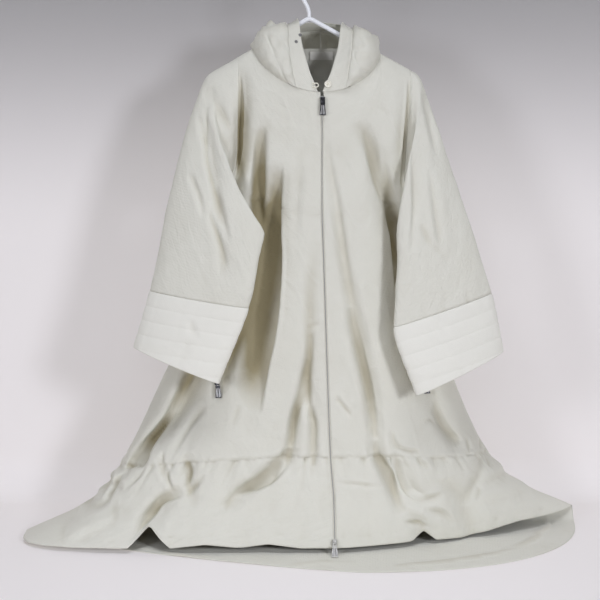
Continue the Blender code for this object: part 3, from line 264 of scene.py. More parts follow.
# How finely the cloth is divided. A run is (from level, to level, rows).
TOP_ROWS = 60
FRONT_RUNS = ((1, 3.7, 96), (3.7, 4.3, 24), (4.3, 6, 54))
BACK_RUNS = ((1, 5, 116), (5, 6, 50))
FRONT_COLUMNS = 144
BACK_COLUMNS = 184
SLEEVE_SIDES = 150
SLEEVE_ROWS = 120
CUFF_ROWS = 88
CUFF_SEAM_STEP = 0.0006
CUFF_START = 0.80
SLEEVE_CROWDING = 1.25
HOOD_ROWS_FINE = 120
HOOD_ACROSS = 96
BAND_ACROSS = 18
ARMHOLE_STEPS = tuple(np.linspace(0, 1, 60) ** 2)

# Painted shade of the folds, multiplied into the cloth's colour: how many grid steps each neighbourhood
# reaches, and how much a millimetre below its mean counts. A valley counts by its own depth, down to where
# the coat widens, and more on the left front, whose valley lies in shade from the lamps on the right.
HOLLOW_NEAR = 2
HOLLOW_WIDE = 7
NEAR_SHARE = 0.07
WIDE_SHARE = 0.035
PAINTED_VALLEY_SHADE = {"left": 1 / 30, "right": 1 / 90}
VALLEY_END = 760
VALLEY_FADE = 100

# Creases: thin lines pressed or hung into the cloth. Width is the trough's half width, depth is how
# far it sinks (a ridge has a negative one), and skew makes one wall steeper. A line is of (x, drop).
BOLDNESS = 1.8
LIP_SHARE = 0.22
LIP_PLACE = 2.3
HOOD_BOLDNESS = 1.4
Crease = namedtuple("Crease", "name width depth skew line")
FRONT_CREASES = (
    Crease("short slant", 3.2, 0.8, 0.2, ((-10, 680), (4, 674), (17, 668))),
    Crease("centre long", 6, 4.4, 0.3, ((-8, 740), (-22, 819), (-32, 865), (-40, 910), (-52, 940))),
    Crease("left of pocket low", 4, 1.8, 0.2, ((-139, 832), (-148, 856), (-156, 876))),
    Crease("pocket low", 5, 2.6, 0.2, ((-208, 838), (-241, 877), (-274, 933))),
    Crease("gather one", 3, 3.2, 0.1, ((-306, 942), (-302, 956), (-298, 974))),
    Crease("gather two", 3, 3.4, 0.1, ((-296, 930), (-295, 956), (-292, 986))),
    Crease("gather three", 3.4, 3.4, 0.2, ((-291, 950), (-284, 976), (-272, 1004))),
    Crease("gather four", 3.4, 3.4, 0.2, ((-247, 945), (-239, 964), (-243, 1002))),
    Crease("gather five", 4, 3.4, 0.2, ((-246, 1010), (-230, 990), (-211, 968))),
    Crease("left slant", 8, 4.6, -0.5, ((-172, 1030), (-149, 1004), (-108, 990), (-69, 968), (-48, 944),
                                        (-38, 918))),
    Crease("left step", 6, 4.6, 0.6, ((-252, 1006), (-291, 1023), (-312, 1046), (-350, 1084))),
    Crease("left flare one", 4.5, 3.6, 0.3, ((-402, 980), (-410, 1003), (-432, 1032))),
    Crease("left flare two", 4.5, 3.6, 0.3, ((-322, 940), (-341, 975), (-372, 1006))),
    Crease("left flare three", 4, 3.2, 0.3, ((-470, 1054), (-418, 1034), (-402, 1016))),
    Crease("left flare four", 4, 3.2, 0.3, ((-380, 980), (-394, 1004), (-410, 1034))),
    Crease("left ridge", 9, -4.0, 0.4, ((-390, 1049), (-401, 1055), (-434, 1069), (-485, 1089))),
    Crease("side hollow", 6.5, 6.5, 0.4, ((-232, 770), (-262, 828), (-290, 880), (-320, 921), (-341, 955),
                                          (-382, 973), (-404, 980))),
    Crease("middle mark", 2.6, 1.4, 0.1, ((-52, 920), (-57, 939))),
    Crease("short mark", 2.6, 1.4, 0.1, ((7, 930), (3, 952))),
    Crease("right of zip low", 3.2, 2.4, 0.2, ((49, 814), (68, 837), (79, 850))),
    Crease("right long low", 7, 5.2, 0.4, ((76, 640), (90, 700), (102, 746), (118, 821), (126, 900))),
    Crease("right gather", 5, 3.6, 0.4, ((158, 884), (170, 912), (190, 923), (214, 926))),
    Crease("flounce one", 8, 5.0, 0.5, ((128, 926), (152, 964), (170, 1015), (184, 1042))),
    Crease("flounce two", 7, 4.8, 0.5, ((165, 926), (178, 976), (193, 1005), (220, 1019), (262, 1012))),
    Crease("flounce three", 3.4, 2.4, 0.2, ((212, 939), (235, 962))),
    Crease("right flare", 3.4, 2.6, 0.2, ((342, 1009), (331, 1034))),
    Crease("right low one", 6, 3.4, 0.4, ((222, 1038), (258, 1045), (286, 1074))),
    Crease("right low two", 3.6, 2.6, 0.4, ((184, 1058), (212, 1061), (224, 1073))),
    Crease("right hip", 7, 4.8, 0.5, ((246, 840), (270, 886), (300, 922))),
    Crease("right hip short", 3, 1.8, 0.2, ((224, 871), (237, 867), (249, 876))),
    Crease("level mark", 3.2, 1.3, 0.2, ((48, 978), (101, 984), (143, 990))),
    Crease("gather six", 3, 2.6, 0.1, ((315, 914), (323, 941))),
    Crease("gather seven", 3, 2.6, 0.1, ((346, 925), (354, 955))),
    Crease("gather eight", 3, 2.6, 0.1, ((360, 941), (367, 977))),
    Crease("below the chest", 5, 3.2, 0.2, ((0, 690), (-6, 822), (7, 872), (7, 950))),
    Crease("right chest long", 10, 3.0, 0.2, ((93, 276), (117, 334), (131, 393), (151, 417))),
    Crease("right of zip long", 7, 2.6, 0.3, ((29, 314), (40, 382), (52, 450), (66, 548), (80, 640))),
    Crease("left chest long", 9, 7.0, 0.3, ((-96, 290), (-99, 330), (-101, 400), (-102, 450), (-100, 490))),
    Crease("left of zip", 8, 2.2, 0.1, ((-22, 330), (-28, 430), (-32, 512))),
    Crease("valley wall", 9.5, 9.5, 0.6, ((-60, 370), (-64, 440), (-64, 520), (-68, 630), (-77, 700),
                                          (-92, 770), (-104, 850))),
    Crease("right valley wall", 10, 8.0, -0.5, ((142, 330), (152, 420), (164, 500), (172, 580), (180, 660),
                                                (192, 740), (206, 800))),
    Crease("left armhole line", 5, 5.0, 0.5, ((-141, 190), (-136, 250), (-137, 320), (-146, 372),
                                              (-158, 400))),
    Crease("right armhole line", 5, 6.0, -0.5, ((194, 200), (190, 260), (185, 320), (181, 370), (180, 410))),
    Crease("right chest mark", 4, 0.9, 0.3, ((126, 248), (150, 261), (160, 284))),
    Crease("right of the valley", 7, 3.4, -0.3, ((104, 290), (125, 377), (142, 433), (156, 500))))
BACK_CREASES = (
    Crease("back yoke slant left", 8, 3.0, 0.3, ((-118, 210), (-84, 290), (-66, 400))),
    Crease("back yoke slant right", 8, 3.0, -0.3, ((168, 216), (132, 300), (116, 404))),
    Crease("back centre", 7, 2.6, 0.2, ((16, 300), (10, 420), (22, 560), (18, 700))),
    Crease("back left long", 6, 3.6, 0.4, ((-60, 470), (-82, 590), (-104, 730), (-128, 850))),
    Crease("back left short", 4, 2.4, 0.2, ((-24, 690), (-34, 760), (-30, 824))),
    Crease("back right long", 6, 3.8, -0.4, ((96, 480), (122, 610), (150, 760), (172, 880))),
    Crease("back right short", 4, 2.6, 0.3, ((64, 700), (74, 770), (70, 850))),
    Crease("back slant one", 5, 2.8, 0.4, ((-196, 800), (-170, 836), (-160, 880))),
    Crease("back slant two", 5, 3.0, -0.4, ((236, 790), (216, 830), (204, 884))),
    Crease("back skirt one", 5, 3.2, 0.4, ((-230, 950), (-252, 1000), (-290, 1050))),
    Crease("back skirt two", 4, 2.8, 0.3, ((-106, 960), (-120, 1010), (-150, 1060))),
    Crease("back skirt three", 5, 3.2, -0.4, ((30, 960), (44, 1020), (40, 1076))),
    Crease("back skirt four", 5, 3.4, -0.4, ((156, 950), (178, 1006), (214, 1050))),
    Crease("back skirt five", 5, 3.0, -0.4, ((284, 960), (306, 1012), (350, 1052))))
LEFT_SLEEVE_CREASES = (
    Crease("sleeve upper long", 7, 3.2, 0.3, ((-200, 211), (-191, 237), (-169, 276), (-158, 300))),
    Crease("sleeve sharp line", 3.2, 2.4, 0.4, ((-205, 250), (-204, 334), (-191, 401), (-179, 453),
                                                (-175, 480))),
    Crease("sleeve low line", 4, 2.4, 0.2, ((-199, 452), (-177, 510), (-165, 556))),
    Crease("sleeve tip line", 4, 2.2, 0.2, ((-218, 268), (-214, 296), (-206, 328))),
    Crease("sleeve inner line", 6, 3.0, 0.3, ((-192, 252), (-168, 315), (-159, 345))),
    Crease("sleeve outer line", 4.5, 2.4, 0.2, ((-236, 378), (-217, 430), (-210, 463))),
    Crease("sleeve middle line", 4.5, 2.4, 0.2, ((-185, 405), (-169, 471), (-160, 509))),
    Crease("sleeve back one", 6, 3.2, 0.3, ((-214, 260), (-200, 380), (-190, 480))),
    Crease("sleeve back two", 5, 2.8, 0.2, ((-236, 420), (-214, 500), (-200, 580))))
RIGHT_SLEEVE_CREASES = (
    Crease("sleeve upper long", 6, 2.8, -0.3, ((221, 222), (233, 286), (244, 340))),
    Crease("sleeve inner long", 5, 2.8, -0.3, ((196, 326), (199, 429), (193, 530))),
    Crease("sleeve outer long", 6, 2.6, -0.2, ((230, 366), (242, 459), (251, 532))),
    Crease("sleeve elbow", 5, 1.3, 0.2, ((206, 470), (236, 516), (268, 548))),
    Crease("sleeve back one", 6, 3.0, 0.3, ((240, 280), (246, 400), (240, 500))),
    Crease("sleeve back two", 5, 2.6, 0.2, ((280, 420), (268, 520), (276, 600))))
LEFT_HOOD_CREASES = (
    Crease("hood deep fold", 7, 7.0, 0.4, ((-86, 74), (-73, 98), (-53, 132), (-41, 160), (-24, 199))),
    Crease("hood second fold", 5, 4.2, 0.3, ((-106, 100), (-96, 121), (-84, 145), (-69, 168), (-60, 182))),
    Crease("hood short fold", 4.5, 3.4, 0.3, ((-98, 92), (-88, 108), (-69, 134), (-64, 146))),
    Crease("hood outer fold", 6, 3.6, 0.3, ((-124, 118), (-110, 140), (-92, 168), (-80, 184))),
    Crease("hood band side", 5, 3.4, 0.3, ((-46, 80), (-40, 110), (-38, 131), (-30, 165))))
RIGHT_HOOD_CREASES = (
    Crease("hood ridge", 8, -4.6, 0.3, ((120, 98), (107, 110), (83, 129), (66, 149), (60, 160))),
    Crease("hood hollow", 8, 4.6, -0.4, ((132, 112), (110, 132), (96, 158), (84, 190))),
    Crease("hood fold one", 5, 4.0, 0.4, ((70, 130), (66, 145), (61, 176), (59, 208))),
    Crease("hood fold two", 5, 3.6, 0.3, ((86, 118), (89, 131), (94, 161), (93, 182))),
    Crease("hood fold three", 7, 4.8, 0.3, ((126, 122), (118, 141), (102, 183), (98, 194))),
    Crease("hood inner fold", 5, 3.6, 0.3, ((90, 92), (79, 114), (66, 132), (56, 145))))
CUFF_DIMPLE = Crease("dimple", 5, 0.8, 0.3, ((-234, 660), (-220, 698)))

# Crumple: the height of its broad swells, middle swells, ridges and fine unevenness
CRUMPLE_HEIGHTS = (1.0, 0.75, 1.5, 0.28)
HOOD_CRUMPLE = 2.3
CUFF_CRUMPLE = 0.35
BAND_CRUMPLE = 0.5
SEEDS = {"front_left": 11, "front_right": 23, "back": 37, "sleeve_left": 81, "cuff_left": 86,
         "sleeve_right": 91, "cuff_right": 96, "hood_left": 100, "hood_right": 102, "hood_band": 111}
FRONT_RUCK_SEEDS = {"left": 30, "right": 32}
BACK_RUCK_SEED = 71

# Ruck marks along a seam: how far they reach from it, their depth and their half width
Ruck = namedtuple("Ruck", "reach depth width")
BELOW_CASING = Ruck(30, 3.4, 4.2)
ABOVE_CASING = Ruck(16, 1.6, 3.6)
BESIDE_ZIP = Ruck(12, 0.6, 3.4)
ABOVE_HEM = Ruck(9, 0.7, 3.0)
IN_CUFF = Ruck(60, 0.5, 4.0)
ABOVE_CUFF = Ruck(20, 1.0, 3.6)
BELOW_ARMHOLE = Ruck(16, 0.8, 3.4)
AT_NECK_SEAM = Ruck(22, 1.4, 4.0)
AT_BAND_SEAM = Ruck(12, 0.9, 3.2)
IN_BAND = Ruck(7, 0.7, 3.0)
CASING_SEAM_DEPTH = 1.5

# The strip on the table: lines are of (x, y)
STRIP_CREASES = (
    Crease("strip long fold", 6, 3.4, 0.6, ((150, -266), (264, -236), (330, -205), (410, -150))),
    Crease("strip end fold", 7, 3.0, 0.4, ((400, -150), (440, -110), (468, -60))),
    Crease("strip tip fold", 7, 2.0, 0.4, ((452, -70), (486, -20), (492, 30))),
    Crease("strip middle fold", 7, 1.2, 0.3, ((-60, -262), (20, -240), (110, -236))),
    Crease("strip left fold", 6, 1.4, 0.3, ((-330, -150), (-250, -196), (-180, -214))))
HIGHEST_ON_TABLE = 4.0

# Stitching: distances from an edge, and one stitch's length, pitch and thickness
ZIP_STITCH_IN = 7.0
ZIP_STITCH_START = 3
HEM_STITCH_UP = 20.0
CASING_STITCH_DOWN = 5.0
CASING_LEVEL = 4.0
BAND_STITCH_IN = 4.0
CUFF_BAND = 29.0
CUFF_EDGE_STITCH = 3.0
STITCH_LENGTH = 2.6
STITCH_PITCH = 3.6
STITCH_THICKNESS = 0.45
STITCH_OUT = 0.25

# Zips. A tooth's size is across, along and out of the chain, and every other tooth steps aside.
TOOTH_PITCH = 2.5
TOOTH_SIZE = (1.7, 1.25, 1.5)
TOOTH_SHIFT = 0.36
TOOTH_SUNK = 0.3
POCKET_TOOTH_PITCH = 1.1
POCKET_TOOTH_SIZE = (2.0, 0.9, 0.9)
POCKET_TOOTH_SHIFT = 0.45
POCKET_TOOTH_RISE = 0.35
TAPE_THICKNESS = 0.6
TAPE_OVERLAP = 0.9
LIP_THICKNESS = 0.5
LIP_ACROSS = (-3.2, -2.6, -1.6, -0.9, 0.0, 0.9, 1.6, 2.6, 3.2)
LIP_RISE = (0.35, 1.0, 1.15, 0.55, 0.45, 0.55, 1.15, 1.0, 0.35)

# Pulls: body, joint, how far the tab stands forward of hanging and the way it faces, in degrees
Pull = namedtuple("Pull", "node body joint lean yaw")
PULLS = (
    Pull("pull_top", "top_pull", "top_pull_turn", 1.0, 0.0),
    Pull("pull_bottom", "bottom_pull", "bottom_pull_turn", 46.0, 0.0),
    Pull("pocket_pull_left", "left_pocket_pull", "left_pocket_pull_turn", 14.17, 19.31),
    Pull("pocket_pull_right", "right_pocket_pull", "right_pocket_pull_turn", 15.01, 11.33))
KNUCKLE_HOLE = 1.4
KNUCKLE_RADIUS = 2.4
KNUCKLE_WIDTH = 4.4
BAIL_DROP = 5.6
BAIL_HALF_WIDTH = 3.1
BAIL_HALF_HEIGHT = 3.3
BAIL_WIRE = 0.85
COLLAR_ROWS = ((-8.4, 0.2, 0.1), (-8.4, 4.0, 1.2), (-8.0, 4.6, 1.5),
               (-11.4, 4.6, 1.5), (-11.8, 4.0, 1.2), (-11.8, 0.2, 0.1))
TAB_START = 11.0
TAB_LENGTH = 32.0
TAB_TOP_WIDTH = 8.4
TAB_FOOT_WIDTH = 13.0
TAB_THICKNESS = 2.2
TAB_RIM = 1.3
TAB_RECESS = 0.65

BUTTON_DIAMETER = 14.0
BUTTON_THICKNESS = 2.6
BUTTON_PLACE = (32.0, 207.0)
BUTTON_HOLES = 4
BUTTON_HOLE_OUT = 1.55
LOOP_RADIUS = 1.1
LOOP_PLACE = (6.0, 209.0)
LOOP_REACH = 8.0
LOOP_HALF_HEIGHT = 3.6
EYELETS = ((-8.0, -80.0, 89.0), (-10.0, -80.0, 103.0))
EYELET_RADIUS = 2.6
EYELET_WIRE = 0.75

# The cut of each piece of cloth: flat width and length in metres, and its area in square metres
Cut = namedtuple("Cut", "name width length area")

# Painted shade: what a deep fold's cloth colour is multiplied by, for light that has met cloth many times
# and turns dim and warm
PAINTED_SHADE_TINT = (0.50, 0.44, 0.30, 1)
SOFT_SHEEN = (("Sheen Weight", 0.12), ("Sheen Roughness", 0.5))
GROUP_OUTPUTS = (("Color", "NodeSocketColor"), ("Roughness", "NodeSocketFloat"),
                 ("Height", "NodeSocketFloat"))
# Paper: its colour low down, its painted shade at its top, and a painted glow of its own colour
PAPER_LIGHT = (0.66, 0.63, 0.62, 1)
PAPER_PAINTED_SHADE = (0.27, 0.262, 0.262, 1)
PAPER_PAINTED_GLOW = 0.31

CAMERA_PLACE = (-0.022, -2.9, -0.230)
CAMERA_PITCH = 8.0
CAMERA_LENS = 87.0
WALL_Y = 0.25
# Heights in metres where the paper's painted shade begins and where it is full
PAPER_LIGHT_UP_TO = -0.55
PAPER_SHADE_FROM = 0.10

# Lamps: place and target in metres, size in metres, power in watts, spread in degrees
Lamp = namedtuple("Lamp", "name place target size power spread")
LAMPS = (
    Lamp("right softbox", (2.6, -3.9, 0.5), (0, 0, -0.65), (0.8, 0.8), 92, 180),
    Lamp("left softbox", (-2.3, -3.0, 0.25), (0, 0, -0.65), (0.8, 0.8), 38, 180),
    Lamp("front softbox", (-0.3, -3.4, 0.6), (0, 0, -0.65), (1.2, 0.8), 9, 180),
    Lamp("top softbox", (0.0, -0.75, 1.6), (0, -0.45, -1.1), (2.0, 0.8), 5, 60),
    Lamp("back softbox", (-1.0, 2.9, 0.0), (0, 0.1, -0.6), (0.8, 0.8), 52, 90),
    Lamp("back fill", (1.9, 2.3, 0.1), (0, 0.1, -0.6), (0.8, 0.8), 16, 90))
DAYLIGHT = (0.88, 0.905, 1.0)
WARM_FILL = (1.0, 0.93, 0.76, 1)
WARM_FILL_STRENGTH = 0.045


def smooth_through(knots, values, at):
    """A cubic through the values at the knots that never overshoots them."""
    knots = np.asarray(knots, float)
    values = np.asarray(values, float).reshape(len(knots), -1)
    at = np.clip(np.asarray(at, float), knots[0], knots[-1])
    step = np.diff(knots)[:, None]
    slope = np.diff(values, axis=0) / step
    turn = slope[:-1] * slope[1:]
    total = slope[:-1] + slope[1:]
    inner = np.where(turn > 0, 2 * turn / np.where(turn > 0, total, 1), 0)
    tangent = np.concatenate([slope[:1], inner, slope[-1:]])
    i = np.clip(np.searchsorted(knots, at, side="right") - 1, 0, len(knots) - 2)
    s = ((at - knots[i]) / step[i, 0])[..., None]
    h = step[i]
    return ((2 * s**3 - 3 * s**2 + 1) * values[i] + (s**3 - 2 * s**2 + s) * h * tangent[i]
            + (3 * s**2 - 2 * s**3) * values[i + 1] + (s**3 - s**2) * h * tangent[i + 1])


def ease(t):
    """0 to 1 with flat ends."""
    t = np.clip(t, 0, 1)
    return t * t * (3 - 2 * t)


def column(rows, name):
    return [getattr(row, name) for row in rows]


def arm_drop(x):
    """Drop of the hanger arm's centre line at x."""
    left = JUNCTION[1] + (JUNCTION[0] - x) * (LEFT_TIP[1] - JUNCTION[1]) / (JUNCTION[0] - LEFT_TIP[0])
    right = JUNCTION[1] + (x - JUNCTION[0]) * (RIGHT_TIP[1] - JUNCTION[1]) / (RIGHT_TIP[0] - JUNCTION[0])
    return np.maximum(left, right)


def ridge_drop(x):
    """Drop of the cloth's middle where it lies over the arm."""
    return arm_drop(x) - ARM_RADIUS * ARM_CLEARANCE - LAY_GAP - WALL / 2


def fold_depth(folds, x, drop):
    """Sum of the folds' depths at each point: a bell across each fold's line."""
    total = np.zeros_like(x)
    for fold in folds:
        line = np.array(fold.line, float)
        place = smooth_through(line[:, 0], line[:, 1:], drop)
        depth = np.where((drop > line[0, 0]) & (drop < line[-1, 0] + 1), place[..., 1], 0)
        total += depth * np.exp(-0.5 * ((x - place[..., 0]) / fold.width) ** 2)
    return total


def armhole_edge(side, g):
    """x and drop of the armhole seam, from the shoulder (g = 0) to the underarm (g = 1)."""
    level = FRONT_LEVELS[0]
    under_x, under_drop = ((level.left_x, level.left_drop) if side.sign < 0
                           else (level.right_x, level.right_drop))
    top = ridge_drop(np.array(float(side.armhole_x)))
    drop = top + (under_drop - top) * g
    line_x = side.armhole_x + (side.armhole_low_x - side.armhole_x) * ease(g)
    reach = np.clip((g - side.scoop_start) / (1 - side.scoop_start), 0, 1)
    return line_x + (under_x - line_x) * (1 - np.sqrt(1 - reach**2)), drop


def upper_depth(x, drop, depth, full, centre_x):
    """Depth of the body above the underarm: round over the arm, then out to the chest."""
    d = np.maximum(drop - ridge_drop(x), 0)
    over = np.sqrt(2 * SHOULDER_ROUND * d + (SHOULDER_SLOPE * d) ** 2)
    under = FRONT_LEVELS[0]
    half = np.where(x < centre_x, centre_x - under.left_x, under.right_x - centre_x)
    widen = 1 + CHEST_WIDENING * np.clip((under.zip_drop - drop) / WIDENING_HEIGHT, 0, 1)
    q = np.clip(np.abs(x - centre_x) / (half * widen), 0, 1)
    across = (1 - q**full) ** (1 / full)
    reach = np.maximum(depth * across, MIN_DEPTH)
    return reach * np.tanh(over / reach)


def top_edge(side, c, front):
    """x and drop of the top edge: the neck, then the shoulder to the armhole."""
    share = side.neck_share
    centre = FRONT_LEVELS[0].zip_x
    angle = np.clip(c / share, 0, 1) * math.pi / 2
    low = ZIP_TOP_DROP if front else BACK_NECK_DROP
    shoulder = ridge_drop(np.array(float(side.neck_x)))
    x_neck = centre + (side.neck_x - centre) * np.sin(angle)
    power = side.neck_power if front else 1.0
    drop_neck = shoulder + (low - shoulder) * np.clip(np.cos(angle), 0, 1) ** power
    out = np.clip((c - share) / (1 - share), 0, 1)
    x = np.where(c <= share, x_neck, side.neck_x + (side.armhole_x - side.neck_x) * out)
    drop = np.where(c <= share, drop_neck, ridge_drop(x))
    return x, drop


def side_seam(side, g):
    """Side seam point for levels 1 (underarm) to 6 (hem)."""
    names = [f"{side.name}_{axis}" for axis in ("x", "y", "drop")]
    table = np.array([column(FRONT_LEVELS, name) for name in names]).T
    return smooth_through(range(1, len(FRONT_LEVELS) + 1), table, g)


def section(side, g, c, front):
    """One row of a panel below the underarm, evenly spaced along the cloth.

    A superellipse runs from the centre to the side seam, so it leaves the seam square to it.
    """
    rows = FRONT_LEVELS if front else BACK_LEVELS
    stops = range(1, len(rows) + 1)
    centre_names = ("zip_x", "zip_y", "zip_drop") if front else ("x", "y", "drop")
    centre = smooth_through(stops, np.array([column(rows, n) for n in centre_names]).T, g)
    seam = side_seam(side, g)
    full = float(smooth_through(stops, column(rows, f"{side.name}_full"), g)[0])
    rise = 0.0 if front else float(smooth_through(stops, column(rows, "rise"), g)[0])
    angle = np.linspace(0, math.pi / 2, 400)
    q = np.sin(angle) ** (2 / full)
    out = np.cos(angle) ** (2 / full)
    out[-1] = 0.0
    x = centre[0] + (seam[0] - centre[0]) * q
    y = seam[1] + (centre[1] - seam[1]) * out
    drop = centre[2] + (seam[2] - centre[2]) * (q**2 if front else (1 - out) ** rise)
    run = np.concatenate([[0], np.cumsum(np.hypot(np.hypot(np.diff(x), np.diff(y)), np.diff(drop)))])
    at = np.interp(c * run[-1], run, np.arange(len(run)))
    index = np.arange(len(run))
    return np.stack([np.interp(at, index, x), np.interp(at, index, y), np.interp(at, index, drop)], axis=-1)


def body_panel(side, front, c, levels):
    """Grid of points in millimetres (x, y, drop): columns c from the centre to the side."""
    c = np.asarray(c, float)
    rows = []
    under = section(side, 1.0, c, front)
    top_x, top_drop = top_edge(side, c, front)
    depth = CHEST_DEPTH if front else BACK_DEPTH
    under_x = side_seam(side, 1.0)[0]
    full = (FRONT_LEVELS[0].left_full, FRONT_LEVELS[0].right_full)[side.sign > 0]
    for g in levels:
        if g >= 1:
            rows.append(section(side, g, c, front))
            continue
        edge_x, edge_drop = armhole_edge(side, g)
        centre = FRONT_LEVELS[0].zip_x
        even = centre + (edge_x - centre) * c
        square = centre + (edge_x - centre) * (under[:, 0] - centre) / (under_x - centre)
        row_x = even + (square - even) * g**4
        settle = ease(g / 0.5)
        x = top_x + (row_x - top_x) * settle
        x = np.where(c > 0.999, edge_x, x)
        drop = top_drop + (under[:, 2] - top_drop) * g
        y = upper_depth(x, drop, depth, full, centre)
        y = y * (-1 if front else 1)
        near = ease((g - 0.45) / 0.55)
        y = y + (np.interp(np.abs(x - centre), np.abs(under[:, 0] - centre), under[:, 1]) - y) * near
        rows.append(np.stack([x, y, drop], axis=-1))
    return np.array(rows)


def with_folds(grid, front, levels, c):
    """Push the folds in, and lift the front hem off the table.

    The folds run out towards the side seam below the armhole, so both panels meet there.
    """
    x, y, drop = grid[..., 0], grid[..., 1], grid[..., 2]
    below = ease((np.asarray(levels, float) - 0.75) / 0.25)[:, None]
    near_seam = 1 - ease((1 - np.asarray(c, float)) / SEAM_FADE)
    push = fold_depth(FRONT_FOLDS if front else BACK_FOLDS, x, drop) * (1 - below * near_seam)
    seam_y = np.array([[side_seam(side, max(g, 1.0))[1] for side in (LEFT, RIGHT)] for g in levels])
    seam_y = np.where(x < FRONT_LEVELS[0].zip_x, seam_y[:, :1], seam_y[:, 1:])
    push = np.minimum(push, DEEPEST_PUSH * np.abs(y - seam_y))
    y = y + (push if front else -push)
    if front:
        near_hem = np.clip((np.asarray(levels, float) - 5.0), 0, 1)[:, None] ** 1.5
        lift = sum(row.rise * np.clip(TENT_PEAK - np.abs(x - row.x) / (TENT_REACH * row.width), 0, 1)
                   for row in HEM_LIFTS)
        drop = drop - lift * near_hem
    drop = np.minimum(drop, FLOOR_DROP - WALL / 2 - LAY_GAP)
    return np.stack([x + side_wave(x, drop), y, drop], axis=-1)


def side_wave(x, drop):
    """Sideways waves where the drawcord ruckles the side seams: a sine down the seam under a bell."""
    near = np.exp(-0.5 * ((drop - WAVE_DROP) / WAVE_REACH) ** 2)
    left, right = ease((-x - 330) / 70), ease((x - 310) / 60)
    return near * (4.5 * right * np.sin(drop / 6.5 + 1) - 4.5 * left * np.sin(drop / 4.9))


def to_world(grid):
    """Millimetres (x, y, drop) to metres (X, Y, Z)."""
    out = np.array(grid, float) * MM
    out[..., 2] *= -1
    return out


def row_length(side, front, g):
    whole = body_panel(side, front, np.linspace(0, 1, 60), [g])[0]
    return float(np.sum(np.linalg.norm(np.diff(whole, axis=0), axis=1)))


def sleeve_rings(side, steps, sides):
    """Rings from the armhole to the cuff: an ellipse between the outer and the inner line."""
    table = LEFT_SLEEVE if side.sign < 0 else RIGHT_SLEEVE
    stops = column(table, "t")
    lines = np.array([column(table, name) for name in Ring._fields[1:]], float).T
    for row in lines:
        if abs(row[1]) < 1:
            row[2] = max(row[2], float(ridge_drop(np.array(row[0]))))
    even = np.arange(sides) / sides * 2 * math.pi
    turn = even - EDGE_CROWDING * np.sin(even)
    inward = (1 - np.cos(turn)) / 2
    edges = {front: armhole_line(side, front) for front in (True, False)}
    rows = ARMHOLE_STEPS
    armhole = np.array([[np.interp(share, rows, edges[angle <= math.pi][:, k]) for k in range(3)]
                        for angle, share in zip(turn, inward)])
    armhole[:, 0] += side.sign * (ARMHOLE_GAP + UNDERARM_GAP * inward**3)
    armhole[np.argmin(inward), 1] = 0.0
    armhole[np.argmax(inward), 1] = 0.0
    rings = []
    for t in steps:
        ox, oy, od, ix, iy, drop, half, lean, tuck = smooth_through(stops, lines, t)
        across = np.where(np.sin(turn) < 0, inward**tuck, inward)
        outer = np.array([ox, oy, od])
        inner = np.array([ix, iy, drop])
        ring = outer + (inner - outer) * np.stack([across, inward, inward], axis=-1)
        ring[:, 0] -= side.sign * half * np.sin(turn) * math.sin(math.radians(lean)) * inward
        ring[:, 1] -= half * np.sin(turn) * math.cos(math.radians(lean))
        ring = armhole + (ring - armhole) * ease(t / SLEEVE_HEAD)
        rings.append(ring)
    grid = np.array(rings)
    push = fold_depth(SLEEVE_FOLDS[side.name], grid[..., 0], grid[..., 2])
    on_front = np.clip(np.sin(turn), 0, 1)
    start = ease(np.asarray(steps) / SLEEVE_HEAD)[:, None]
    grid[..., 1] += push * on_front * start
    return grid


def neck_point(side, angle_deg):
    """Point on the neck seam: 0 at the zip, 90 at the shoulder, 180 at the centre back."""
    front = angle_deg <= 90
    c = side.neck_share * (angle_deg / 90 if front else (180 - angle_deg) / 90)
    point = body_panel(side, front, [c], [0.0])[0, 0]
    return point + np.array([0.0, NECK_SEAM_IN if front else -NECK_SEAM_IN, -NECK_SEAM_LIFT])


def hood_rows(side, steps):
    """Band seam points and pulls for each step round the neck, mirrored for the right."""
    stops = column(HOOD_ROWS, "a")
    table = np.array([row[1:] for row in HOOD_ROWS], float)
    rows = smooth_through(stops, table, steps)
    if side.sign > 0:
        rows[:, 1] = HOOD_CENTRE_X + (HOOD_CENTRE_X - rows[:, 1]) * RIGHT_HOOD_SCALE
        rows[:, 4] *= -1
        rows[:, 7] *= -1
        rows[:, 3] += RIGHT_HOOD_DROP * np.sin(np.pi * np.clip(steps, 0, 1))
    return rows


def hood_grid(side, steps, across):
    """Hood side: a cubic pull curve from the neck seam to the band for each step."""
    rows = hood_rows(side, steps)
    start = np.array([neck_point(side, angle) for angle in rows[:, 0]])
    end = rows[:, 1:4]
    pull_a = start + rows[:, 4:7] * np.array([1, 1, -1])
    pull_b = end + rows[:, 7:10] * np.array([1, 1, -1])
    s = np.linspace(0, 1, across + 1)[None, :, None]
    return ((1 - s) ** 3 * start[:, None] + 3 * s * (1 - s) ** 2 * pull_a[:, None]
            + 3 * s**2 * (1 - s) * pull_b[:, None] + s**3 * end[:, None])


def band_grid(side, steps, across):
    """Hood band: it goes on from the hood's edge and turns in towards the face opening."""
    edge = hood_rows(side, steps)[:, 1:4]
    way = smooth_through(column(BAND_ROWS, "a"), np.array([row[2:] for row in BAND_ROWS]), steps)
    width = smooth_through(column(BAND_ROWS, "a"), column(BAND_ROWS, "width"), steps)[:, 0]
    way[:, 0] *= -side.sign
    if side.sign > 0:
        width = width * RIGHT_BAND_SCALE
    way /= np.linalg.norm(way, axis=1, keepdims=True)
    s = np.linspace(0, 1, across + 1)[None, :, None]
    step = way * np.array([1, 1, -1])
    return edge[:, None] + step[:, None] * (SEAM_GAP * 2 + s * width[:, None, None])


